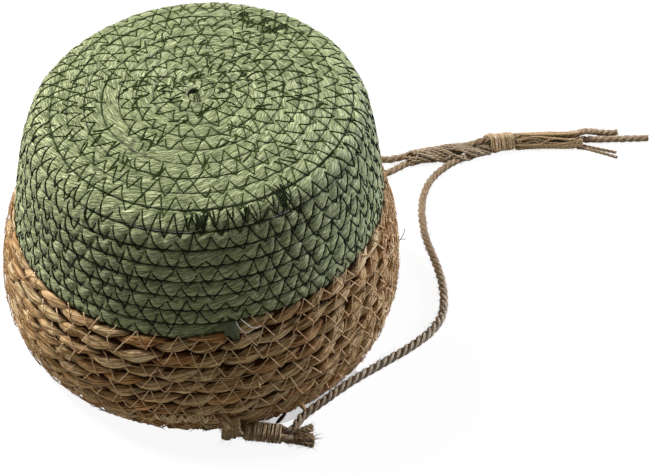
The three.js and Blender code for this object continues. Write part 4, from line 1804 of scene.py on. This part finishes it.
@dataclass
class FilmLiner:
    """The clear film inside, and its edge that shows under the rim."""

    wall: Wall
    cord_depth: float = 8.4 * MM
    gap: float = 0.4 * MM
    rope: float = 4.2 * MM
    free_height: float = 44 * MM
    hem: float = 1.4 * MM
    ripple: float = 0.12 * MM
    thickness: float = 0.3 * MM
    flap_thickness: float = 0.2 * MM
    flat: Pair = (0.32, 0.32)
    rows: int = 60
    around: int = 140

    def shape(self) -> Shape:
        """A closed skin inside the wall: two nested sheets joined at the free edge.

        It follows the wall down to its free part, then hangs clear of the ropes' inner legs, and
        ripples more towards its edge.

        Returns:
            Its mesh, the poles closed.
        """
        end = self.wall.rim_edge - self.hem
        distance = np.maximum(end * np.linspace(0, 1, self.rows), 0.2 * MM)
        height = self.wall.at(distance, 0.0)[1]
        share = clipped((self.free_height - height) / self.wall.row_pitch)
        free = share**2 * (3 - 2 * share)
        offset = -(self.cord_depth / 2 + self.gap + free * (self.rope + 2 * self.gap))
        turn = np.arange(self.around) / self.around
        rng = seeded(61)
        waves = sum(
            np.sin(k * 2 * np.pi * turn[None] + rng.uniform(0, 6) + 3 * distance[:, None] / end)
            for k in (5, 9, 14)
        )
        ripple = self.ripple * np.abs(waves) * (distance / end)[:, None]
        skins = [
            self.wall.on(turn[None], distance[:, None], offset[:, None] - inside - ripple)
            for inside in (0.0, self.thickness)
        ]
        rings = np.concatenate([skins[0], skins[1][::-1]])[None]
        along = np.concatenate([distance, 2 * end - distance[::-1]])[None]
        return tubes(rings, along, np.linspace(0, 0.55, self.around + 1))

    def flap(self) -> Shape:
        """The film's edge on the floor between the rim and the rope.

        A thin loft between the line under the rim and the free edge, with ripples.

        Returns:
            Its mesh.
        """
        free = [
            (20, -90.5), (27, -90.2), (37, -88.6), (46, -84.6), (57.6, -76.6), (68.4, -67), (75.6, -58.6),
        ]
        under = [(19, -82), (27, -80), (34, -77), (42, -71.5), (50, -65.5), (60, -57.5), (70.5, -52.5)]
        a, b = (
            evenly(smooth_line(np.array([(x, y, 0) for x, y in line]) * MM), 0.5 * MM)[0]
            for line in (free, under)
        )
        n = min(len(a), len(b))
        a, b = (p[np.linspace(0, len(p) - 1, n).astype(int)] for p in (a, b))
        share = np.linspace(0, 1, 9)
        top = a[:, None] * (1 - share[None, :, None]) + b[:, None] * share[None, :, None]
        rng = seeded(62)
        along = np.arange(n) * 0.5 * MM
        slow = wander(rng, along, 5 * MM)[:, None] * np.cos(6 * share)
        slow = slow + wander(rng, along, 9 * MM)[:, None]
        top[..., 2] = 0.75 * MM + 0.3 * MM * slow
        low = top[:, ::-1].copy()
        low[..., 2] -= self.flap_thickness
        rings = np.concatenate([top, low], 1)[None]
        return tubes(rings, along[None], np.linspace(0, 20 * MM, rings.shape[2] + 1))


# Finishes


class Wire:
    """A shader value, so that arithmetic on it adds Math nodes."""

    def __init__(self, graph: Graph, socket: bpy.types.NodeSocket) -> None:
        """Keeps the graph and the socket."""
        self.graph, self.socket = graph, socket

    def _math(self, operation: str, *values: Any) -> Wire:
        """A Math node on this value and others."""
        return self.graph.node("ShaderNodeMath", {"operation": operation}, dict(enumerate(values)))

    def __add__(self, other: Any) -> Wire:
        """Sum."""
        return self._math("ADD", self, other)

    __radd__ = __add__

    def __sub__(self, other: Any) -> Wire:
        """Difference."""
        return self._math("SUBTRACT", self, other)

    def __rsub__(self, other: Any) -> Wire:
        """Difference, reflected."""
        return self._math("SUBTRACT", other, self)

    def __mul__(self, other: Any) -> Wire:
        """Product."""
        return self._math("MULTIPLY", self, other)

    __rmul__ = __mul__

    def size(self) -> Wire:
        """The value without its sign."""
        return self._math("ABSOLUTE", self)

    def clamped(self) -> Wire:
        """The value between 0 and 1."""
        return self.graph.node("ShaderNodeClamp", {}, {0: self})

    def between(self, low: float, high: float) -> Wire:
        """0 at low, 1 at high and smooth between."""
        settings = {"interpolation_type": "SMOOTHSTEP"}
        return self.graph.node("ShaderNodeMapRange", settings, {0: self, 1: low, 2: high})


class Graph:
    """A material's node graph."""

    def __init__(self, tree: bpy.types.NodeTree) -> None:
        """Empties the tree."""
        self.tree = tree
        tree.nodes.clear()

    def node(
        self, kind: str, settings: dict[str, Any] | None = None, inputs: dict[Any, Any] | None = None,
        output: int | str = 0,
    ) -> Wire:
        """Adds a node.

        Args:
            kind: The node's type.
            settings: Its properties, or stops for a colour ramp.
            inputs: Values or wires by socket.
            output: The socket to return.

        Returns:
            The output as a wire.
        """
        node = self.tree.nodes.new(kind)
        for key, value in (settings or {}).items():
            if key == "stops":
                ramp = node.color_ramp.elements
                while len(ramp) < len(value):
                    ramp.new(0.5)
                for element, (position, colour) in zip(ramp, value):
                    element.position, element.color = position, colour
            else:
                setattr(node, key, value)
        for key, value in (inputs or {}).items():
            if isinstance(value, Wire):
                self.tree.links.new(value.socket, node.inputs[key])
            else:
                node.inputs[key].default_value = value
        return Wire(self, node.outputs[output])

    def mix(self, share: Any, one: Any, two: Any, blend: str = "MIX") -> Wire:
        """A colour between two, or one blended with another."""
        settings = {"data_type": "RGBA", "blend_type": blend}
        return self.node("ShaderNodeMix", settings, {0: share, 6: one, 7: two}, 2)

    def noise(self, vector: Wire, scale: float, detail: float = 2.0, rough: float = 0.5) -> Wire:
        """Noise from 0 to 1 at places of a vector."""
        inputs = {"Vector": vector, "Scale": scale, "Detail": detail, "Roughness": rough}
        return self.node("ShaderNodeTexNoise", {}, inputs)

    def stretched(self, vector: Wire, scale: Triple, turn: float = 0.0) -> Wire:
        """A vector turned by an angle in degrees, then multiplied along each axis."""
        inputs = {
            "Vector": vector, "Rotation": (0, 0, math.radians(turn)), "Scale": [1 / s for s in scale],
        }
        return self.node("ShaderNodeMapping", {"vector_type": "TEXTURE"}, inputs)

    def coordinates(self, kind: str) -> Wire:
        """The piece's own UV map or its Object coordinates."""
        return self.node("ShaderNodeTexCoord", output=kind)

    def attribute(self, name: str) -> Wire:
        """What the mesh holds under a name at each point."""
        return self.node("ShaderNodeAttribute", {"attribute_name": name}, output="Fac")

    def finish(
        self, colour: Any, roughness: Any, height: Wire | None, depth: float, **fixed: float
    ) -> None:
        """Ends the graph in a Principled shader.

        Args:
            colour: Base colour.
            roughness: Roughness.
            height: Bump height, or none.
            depth: Bump distance in metres.
            fixed: Other sockets, with spaces for underscores.
        """
        inputs: dict[Any, Any] = {"Base Color": colour, "Roughness": roughness}
        inputs.update({key.replace("_", " "): value for key, value in fixed.items()})
        if height is not None:
            bump = {"Strength": 1.0, "Distance": depth, "Height": height}
            inputs["Normal"] = self.node("ShaderNodeBump", {}, bump)
        self.node_out(self.node("ShaderNodeBsdfPrincipled", {}, inputs))

    def node_out(self, shader: Wire, kind: str = "ShaderNodeOutputMaterial") -> None:
        """Links a shader to the output."""
        out = self.tree.nodes.new(kind)
        self.tree.links.new(shader.socket, out.inputs["Surface"])


def srgb(red: float, green: float, blue: float) -> Colour:
    """A screen colour, each part from 0 to 255, in linear light from 0 to 1 with an alpha of 1."""
    c = np.array([red, green, blue]) / 255
    return (*np.where(c <= 0.04045, c / 12.92, ((c + 0.055) / 1.055) ** 2.4).tolist(), 1.0)


def new_material(name: str) -> tuple[bpy.types.Material, Graph]:
    """An empty node material.

    Args:
        name: Its name.

    Returns:
        The material and its graph.
    """
    material = bpy.data.materials.new(name)
    material.use_nodes = True
    return material, Graph(material.node_tree)


@dataclass(frozen=True)
class RaffiaFinish:
    """Dyed paper raffia: crinkle lines that slant over the cord, with painted highlight on their crests,
    painted shade in their creases and painted shade in the grooves.
    """

    name: str = "green_raffia"
    # light is the painted highlight on the fold crests; dark is the painted shade in the creases.
    light: Colour = srgb(212, 220, 168)
    middle: Colour = srgb(158, 168, 114)
    dark: Colour = srgb(80, 92, 44)
    patch: Colour = srgb(160, 172, 112)
    # deep is the painted shade in the grooves.
    deep: Colour = srgb(44, 54, 24)
    slant: float = -24.0

    def build(self) -> bpy.types.Material:
        """The material.

        Returns:
            A new one.
        """
        material, g = new_material(self.name)
        uv = g.coordinates("UV")
        place = g.coordinates("Object")
        deep = g.attribute("shade")
        fold = g.noise(g.stretched(uv, (140, 560, 1), self.slant), 1.0, 3.0, 0.55)
        lines = g.noise(g.stretched(uv, (90, 780, 1), self.slant * 0.85), 1.0, 2.0, 0.5)
        fibre = g.noise(g.stretched(uv, (120, 1900, 1), self.slant * 0.7), 1.0, 2.0, 0.6)
        patch = g.noise(place, 45.0, 2.0, 0.5)
        ridge = (lines - 0.5).size().between(0.0, 0.06)
        hair = (fibre - 0.5).size().between(0.0, 0.07)
        # Painted highlight on the fold crests, then painted shade in the crease lines and the fine crease
        # lines.
        colour = g.mix((fold * 0.7 + fibre * 0.3).between(0.4, 0.62), self.middle, self.light)
        colour = g.mix((1 - ridge) * 0.85, colour, self.dark)
        colour = g.mix((1 - hair) * 0.35, colour, self.dark)
        colour = g.mix(patch.between(0.35, 0.7) * 0.25, colour, self.patch)
        # Painted shade in the grooves and where the threads press in, from the mesh's shade.
        colour = g.mix(deep.between(0.2, 0.88) * 0.86, colour, self.deep)
        height = fold * 1.35 + ridge * 0.45 + hair * 0.2
        g.finish(colour, fibre * -0.2 + 0.7, height, 1.0 * MM, Specular_IOR_Level=0.4)
        return material


@dataclass(frozen=True)
class LeafFinish:
    """Dried leaf: each lobe its own tan, ochre, brown or olive, with veins along it, painted highlight on
    some veins and painted shade in the crevices.
    """

    name: str = "dried_leaf"

    def build(self) -> bpy.types.Material:
        """The material.

        Returns:
            A new one.
        """
        material, g = new_material(self.name)
        uv = g.coordinates("UV")
        place = g.coordinates("Object")
        tint = g.attribute("tint")
        vein = g.noise(g.stretched(uv, (45, 1300, 1)), 1.0, 3.0, 0.65)
        blotch = g.noise(g.stretched(uv, (70, 160, 1)), 1.0, 3.0, 0.6)
        patch = g.noise(place, 70.0, 2.0, 0.5)
        stops = [
            (0.0, srgb(172, 118, 74)), (0.18, srgb(212, 162, 108)), (0.36, srgb(236, 200, 148)),
            (0.55, srgb(250, 224, 178)), (0.74, srgb(218, 190, 138)), (0.87, srgb(228, 170, 108)),
            (1.0, srgb(252, 232, 192)),
        ]
        which = (tint * 0.75 + patch * 0.3 + blotch * 0.3 - 0.17).clamped()
        family = g.node("ShaderNodeValToRGB", {"stops": stops}, {0: which})
        dim = g.mix(1.0, family, srgb(156, 136, 110), "MULTIPLY")
        colour = g.mix(vein.between(0.42, 0.6), dim, family)
        colour = g.mix(blotch.between(0.56, 0.72) * 0.6, colour, srgb(124, 78, 46))
        # Painted highlight: pale streaks along the veins.
        colour = g.mix(vein.between(0.6, 0.74) * 0.45, colour, srgb(255, 232, 194))
        # Painted shade in the crevices and at the lobes' edges, from the mesh's shade.
        deep = g.attribute("shade")
        colour = g.mix(deep.between(0.35, 0.9) * 0.93, colour, srgb(48, 22, 6))
        g.finish(
            colour, vein * -0.15 + 0.76, vein * 0.8 + blotch * 1.0, 0.9 * MM, Specular_IOR_Level=0.16
        )
        return material


@dataclass(frozen=True)
class JuteFinish:
    """Jute yarn: fine fibres that cross each strand at a slant, darker or paler by the tint, with painted
    shade in the grooves.
    """

    name: str = "jute"
    light: Colour = srgb(246, 229, 200)
    middle: Colour = srgb(222, 197, 162)
    dark: Colour = srgb(154, 124, 92)
    slant: float = 24.0
    # groove is how strongly painted shade darkens the grooves.
    groove: float = 0.58

    def build(self) -> bpy.types.Material:
        """The material.

        Returns:
            A new one.
        """
        material, g = new_material(self.name)
        uv = g.coordinates("UV")
        place = g.coordinates("Object")
        fibre = g.noise(g.stretched(uv, (260, 3200, 1), self.slant), 1.0, 3.0, 0.6)
        yarn = g.noise(g.stretched(uv, (120, 900, 1), self.slant * 0.5), 1.0, 2.0, 0.5)
        patch = g.noise(place, 60.0, 2.0, 0.5)
        colour = g.mix(fibre.between(0.35, 0.6), self.dark, self.middle)
        colour = g.mix(yarn.between(0.5, 0.7) * 0.7, colour, self.light)
        colour = g.mix(patch.between(0.5, 0.75) * 0.35, colour, srgb(160, 134, 104))
        deep = g.attribute("shade")
        hair = (fibre - 0.5).size().between(0.0, 0.08)
        colour = g.mix((1 - hair) * 0.6, colour, self.dark)
        # The tint is a random tone on loose fibres, and painted light and shade along the front rope.
        tone = g.attribute("tint")
        colour = g.mix(tone.between(0.5, 1.0) * 0.75, colour, srgb(255, 238, 210))
        colour = g.mix((1 - tone).between(0.5, 1.0) * 0.5, colour, srgb(140, 116, 88))
        # Painted shade in the grooves, from the mesh's shade.
        colour = g.mix(deep.between(0.45, 1.0) * self.groove, colour, srgb(100, 74, 48))
        g.finish(colour, 0.92, fibre * 0.8 + yarn * 0.8 + hair * 0.3, 0.6 * MM, Specular_IOR_Level=0.2)
        return material


@dataclass(frozen=True)
class ThreadFinish:
    """Spun thread: a fine twist pattern, and a colour between two by the tint."""

    name: str
    one: Colour
    other: Colour

    def build(self) -> bpy.types.Material:
        """The material.

        Returns:
            A new one.
        """
        material, g = new_material(self.name)
        uv = g.coordinates("UV")
        bands = {"Vector": g.stretched(uv, (260, 420, 1), 35), "Scale": 1.0, "Distortion": 1.0}
        ply = g.node("ShaderNodeTexWave", {"wave_type": "BANDS"}, bands, "Fac")
        tint = g.attribute("tint")
        colour = g.mix(tint, self.one, self.other)
        dim = g.mix(1.0, colour, srgb(196, 196, 196), "MULTIPLY")
        g.finish(g.mix(ply, dim, colour), 0.85, ply, 0.1 * MM, Specular_IOR_Level=0.15)
        return material


@dataclass(frozen=True)
class FilmFinish:
    """Clear plastic film: milky, with lilac grey and white streaks along its creases, painted shade and
    painted reflection.
    """

    name: str = "film"
    alpha: float = 0.22
    colour: Colour = srgb(255, 247, 250)

    def build(self) -> bpy.types.Material:
        """The material.

        Returns:
            A new one.
        """
        material, g = new_material(self.name)
        place = g.coordinates("Object")
        crease = g.noise(g.stretched(place, (300, 120, 200), 25), 1.0, 3.0, 0.6)
        haze = g.noise(place, 60.0, 2.0, 0.5)
        # Painted shade and painted reflection: grey and white streaks along the creases.
        colour = g.mix(crease.between(0.42, 0.56), srgb(176, 170, 184), self.colour)
        g.finish(colour, haze * 0.3 + 0.15, crease, 0.6 * MM, Alpha=self.alpha, Specular_IOR_Level=0.6)
        return material


# The studio


@dataclass
class Studio:
    """Camera, lamps, floor and world; sizes in metres."""

    sensor: float = 36.0
    lens: float = 1394.61 * 36 / 650
    place: Triple = (0.0, -0.520967, 0.525313)
    pitch: float = 0.73775
    yaw: float = 0.09183
    roll: float = -0.02803
    shift: Pair = ((325 - 296.473) / 650, -(238 - 222.997) / 650)
    aim: Triple = (0.03, 0.0, 0.06)
    floor_half: float = 6.0

    def camera(self) -> None:
        """The photograph's camera, fitted to the basket's rows and outline."""
        data = bpy.data.cameras.new("camera")
        data.lens, data.sensor_width, data.sensor_fit = self.lens, self.sensor, "HORIZONTAL"
        data.shift_x, data.shift_y = self.shift
        data.clip_start, data.clip_end = 0.01, 20.0
        sp, cp = math.sin(self.pitch), math.cos(self.pitch)
        sy, cy = math.sin(self.yaw), math.cos(self.yaw)
        forward = np.array([cp * sy, cp * cy, -sp])
        right, up = np.array([cy, -sy, 0.0]), np.array([sp * sy, sp * cy, cp])
        cr, sr = math.cos(self.roll), math.sin(self.roll)
        right, up = cr * right - sr * up, sr * right + cr * up
        camera = bpy.data.objects.new("camera", data)
        columns = [*right, 0], [*up, 0], [*(-forward), 0], [*self.place, 1]
        camera.matrix_world = Matrix(columns).transposed()
        bpy.context.scene.collection.objects.link(camera)
        bpy.context.scene.camera = camera

    def lamp(
        self, name: str, place: Triple, size: float, power: float,
        colour: Triple = (1.0, 1.0, 1.0),
    ) -> None:
        """An area lamp that looks at the basket.

        Args:
            name: Its name.
            place: Where it hangs.
            size: Side of its square.
            power: Watts.
            colour: Its light's colour.
        """
        data = bpy.data.lights.new(name, "AREA")
        data.color = colour
        data.shape, data.size, data.energy = "SQUARE", size, power
        lamp = bpy.data.objects.new(name, data)
        lamp.location = place
        towards = Vector(self.aim) - Vector(place)
        lamp.rotation_euler = towards.to_track_quat("-Z", "Y").to_euler()
        bpy.context.scene.collection.objects.link(lamp)

    def seen(self, g: Graph) -> Wire:
        """1 for rays from the camera or by way of a mirror or glass, else 0.

        Args:
            g: The graph to add the nodes to.

        Returns:
            The share.
        """
        rays = ["Is Camera Ray", "Is Glossy Ray", "Is Transmission Ray"]
        camera, glossy, through = (g.node("ShaderNodeLightPath", output=ray) for ray in rays)
        return (camera + glossy + through).clamped()

    def world(self) -> None:
        """A white surround for the camera and a weak even fill for the object."""
        world = bpy.data.worlds.new("world")
        world.use_nodes = True
        g = Graph(world.node_tree)
        fill = g.node("ShaderNodeBackground", {}, {"Color": (1.0, 0.97, 0.86, 1), "Strength": 0.066})
        white = g.node("ShaderNodeBackground", {}, {"Color": (1, 1, 1, 1), "Strength": 1.0})
        mixed = g.node("ShaderNodeMixShader", {}, {0: self.seen(g), 1: fill, 2: white})
        g.node_out(mixed, "ShaderNodeOutputWorld")
        bpy.context.scene.world = world

    def floor(self) -> None:
        """A pale floor: white to the camera, with the object's shadow kept."""
        mesh = bpy.data.meshes.new("floor")
        s = self.floor_half
        mesh.from_pydata([(-s, -s, 0), (s, -s, 0), (s, s, 0), (-s, s, 0)], [], [(0, 1, 2, 3)])
        material, g = new_material("floor")
        plain = g.node("ShaderNodeBsdfDiffuse", {}, {"Color": (0.54, 0.53, 0.48, 1)})
        glow = g.node("ShaderNodeEmission", {}, {"Color": (1, 1, 1, 1), "Strength": 0.93})
        pale = g.node("ShaderNodeBsdfDiffuse", {}, {"Color": (0.15, 0.15, 0.15, 1)})
        seen = g.node("ShaderNodeAddShader", {}, {0: glow, 1: pale})
        g.node_out(g.node("ShaderNodeMixShader", {}, {0: self.seen(g), 1: plain, 2: seen}))
        mesh.materials.append(material)
        floor = bpy.data.objects.new("floor", mesh)
        bpy.context.scene.collection.objects.link(floor)

    def set_up(self) -> None:
        """Makes all of it."""
        self.camera()
        self.lamp("key", (-0.75, 0.55, 1.25), 0.5, 36.0)
        self.lamp("side", (1.3, 0.4, 0.36), 0.5, 22.0, (0.85, 0.88, 1.0))
        self.world()
        self.floor()
        bpy.context.scene.view_settings.view_transform = "Standard"


def build_hanger(hanger: Hanger) -> None:
    """The three ropes with their eyes, twine and stray fibres.

    Args:
        hanger: The ropes' sizes and routes.
    """
    jute = JuteFinish().build()
    twine = JuteFinish(
        "twine", srgb(255, 240, 208), srgb(255, 226, 184), srgb(216, 178, 134), 30.0, 0.5
    ).build()
    # A paler copy of the jute that paints light onto the front eye and the yarns past the gather, which
    # lie in shade: painted light.
    painted_light_jute = JuteFinish(
        "jute_painted_light", srgb(255, 240, 206), srgb(255, 228, 182), srgb(230, 188, 134), groove=0.7
    ).build()
    lines = hanger.routes()
    on: dict[str, list[bpy.types.Object]] = {name: [] for name in lines}
    for number, (name, eye) in enumerate(hanger.eyes.items()):
        line = eye.line()
        loop = TwistedRope(line, seed=number + 20, loosened=(43 * MM, 9 * MM, 0.1))
        front = name == "front"
        tied = joined([loop.shape(), *eye.frayed(), *(eye.yarns() if front else [])])
        rope = piece(f"{name}_eye_rope", tied, painted_light_jute if front else jute)
        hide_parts(f"{name}_eye")
        turns = eye.seizing().shape()
        wound = piece(f"{name}_seizing_twine", turns, painted_light_jute if front else twine)
        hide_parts(f"{name}_seizing")
        hairs = [
            Fuzz(line, 2.4 * MM, 260, number + 50, 5 * MM).shape(),
            Fuzz(eye.seizing().line(), 0.5 * MM, 260, number + 90, 2.6 * MM).shape(),
            Fuzz(line[:40], 1.6 * MM, 120, number + 60, 5 * MM, 0.11 * MM).shape(),
            Fuzz(lines[name], 2.1 * MM, 1100, number + 70, 3.6 * MM, 0.08 * MM).shape(),
        ]
        fuzz = piece(f"{name}_rope_fibres", joined(hairs), jute)
        on[name] += [rope, wound, fuzz]
    gather = piece("gather_twine", hanger.whipping().shape(), twine)
    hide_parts("gather_whipping")
    slack = piece("gather_slack_yarns", joined(hanger.slack()), painted_light_jute)
    before = piece("bundle_slack_yarns", joined(hanger.slack_before()), jute)
    on["front"] += [gather, slack, before]
    for name, line in hanger.unlaid().items():
        strand = TwistedRope(line, radius=1.0 * MM, lay=8 * MM, twist=Twist.S, sides=15, step=0.6 * MM)
        end = piece(f"{name}_yarn", strand.shape(), jute)
        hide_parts(name)
        on["front"].append(end)
    for number, (name, line) in enumerate(lines.items()):
        strands = TwistedRope(line, seed=number + 2)
        if name == "front":
            strands.loosened, strands.tones = hanger.front_swell, hanger.front_painted_light
        rope = piece(f"{name}_rope_strands", strands.shape(), jute)
        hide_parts(f"{name}_rope")
        path, along = evenly(line, 5 * MM)


def build_basket(wall: Wall) -> None:
    """The coils, their sewing and the film.

    Args:
        wall: The surface they follow.
    """
    green = RaffiaFinish().build()
    leaf = LeafFinish().build()
    # The green thread is painted lighter on the lit base (tint 0) and near black on the walls, which lie
    # in shade (tint 1): painted light and shade.
    dark_thread = ThreadFinish("green_thread", srgb(58, 72, 26), srgb(16, 24, 6)).build()
    pale_thread = ThreadFinish("beige_thread", srgb(248, 202, 156), srgb(255, 226, 182)).build()
    film = FilmFinish().build()
    vees = Stitching(wall, 8.4 * MM, 6.0 * MM, 2.0 * MM, 11, (0.38, 0.7), 0.95 * MM, longer=1.3 * MM)
    cord = GreenCord(wall, vees)
    disc = joined([cord.shape(0.02, wall.base_turns), cord.crown()])
    base = piece("green_base_cord", disc, green)
    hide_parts("base_coil")
    rows = cord.shape(wall.base_turns, wall.green_turns + 0.004)
    side = piece("green_wall_cord", joined([rows, cord.tucked_end()]), green)
    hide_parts("green_wall_coil")
    sewing = GreenSewing(wall, Thread(wall, 0.29 * MM), cord=cord)
    piece("green_zigzag_thread", sewing.zigzag_legs(), dark_thread)
    piece("green_stray_stitches", sewing.strays(), dark_thread)
    groove = GreenSewing(wall, Thread(wall, 0.2 * MM), cord=cord).groove_line()
    piece("green_groove_thread", groove, dark_thread)
    leaf_cord = LeafCord(wall)
    for number, letter in enumerate("ab"):
        ply = piece(f"leaf_ply_{letter}", leaf_cord.ply(number), leaf)
        if number == 0:
            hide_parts("natural_wall_coil")
    brown, cream = srgb(62, 34, 14), srgb(255, 246, 232)
    # The core's dark brown is painted shade between the plies.
    inside = ThreadFinish("leaf_core_painted_shade", brown, brown).build()
    piece("leaf_core", leaf_cord.core(), inside)
    odds = [leaf_cord.slivers(), leaf_cord.fibres(), leaf_cord.start_strip(), leaf_cord.bits()]
    piece("leaf_slivers", joined(odds), leaf)
    zigzag = Stitching(wall, 9.2 * MM, 2.4 * MM, 5.6 * MM, 12, (0.42, 0.58), 0.7 * MM)
    beige = BeigeSewing(wall, Thread(wall, 0.29 * MM), stitching=zigzag)
    piece("beige_zigzag_thread", joined([beige.legs(), beige.loose()]), pale_thread)
    slack_thread = ThreadFinish("slack_thread", cream, cream).build()
    piece("beige_slack_loops", beige.slack_loops(), slack_thread)
    liner = FilmLiner(wall)
    skin = piece("film_liner", liner.shape(), film)
    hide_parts("liner")
    flap = piece("film_flap", liner.flap(), film)


def main() -> None:
    """Builds the studio, the ropes and the basket."""
    logging.basicConfig(level=logging.INFO)
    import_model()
    Studio().set_up()
    wall = Wall()
    build_hanger(Hanger(wall))
    build_basket(wall)


if __name__ == "__main__":
    main()
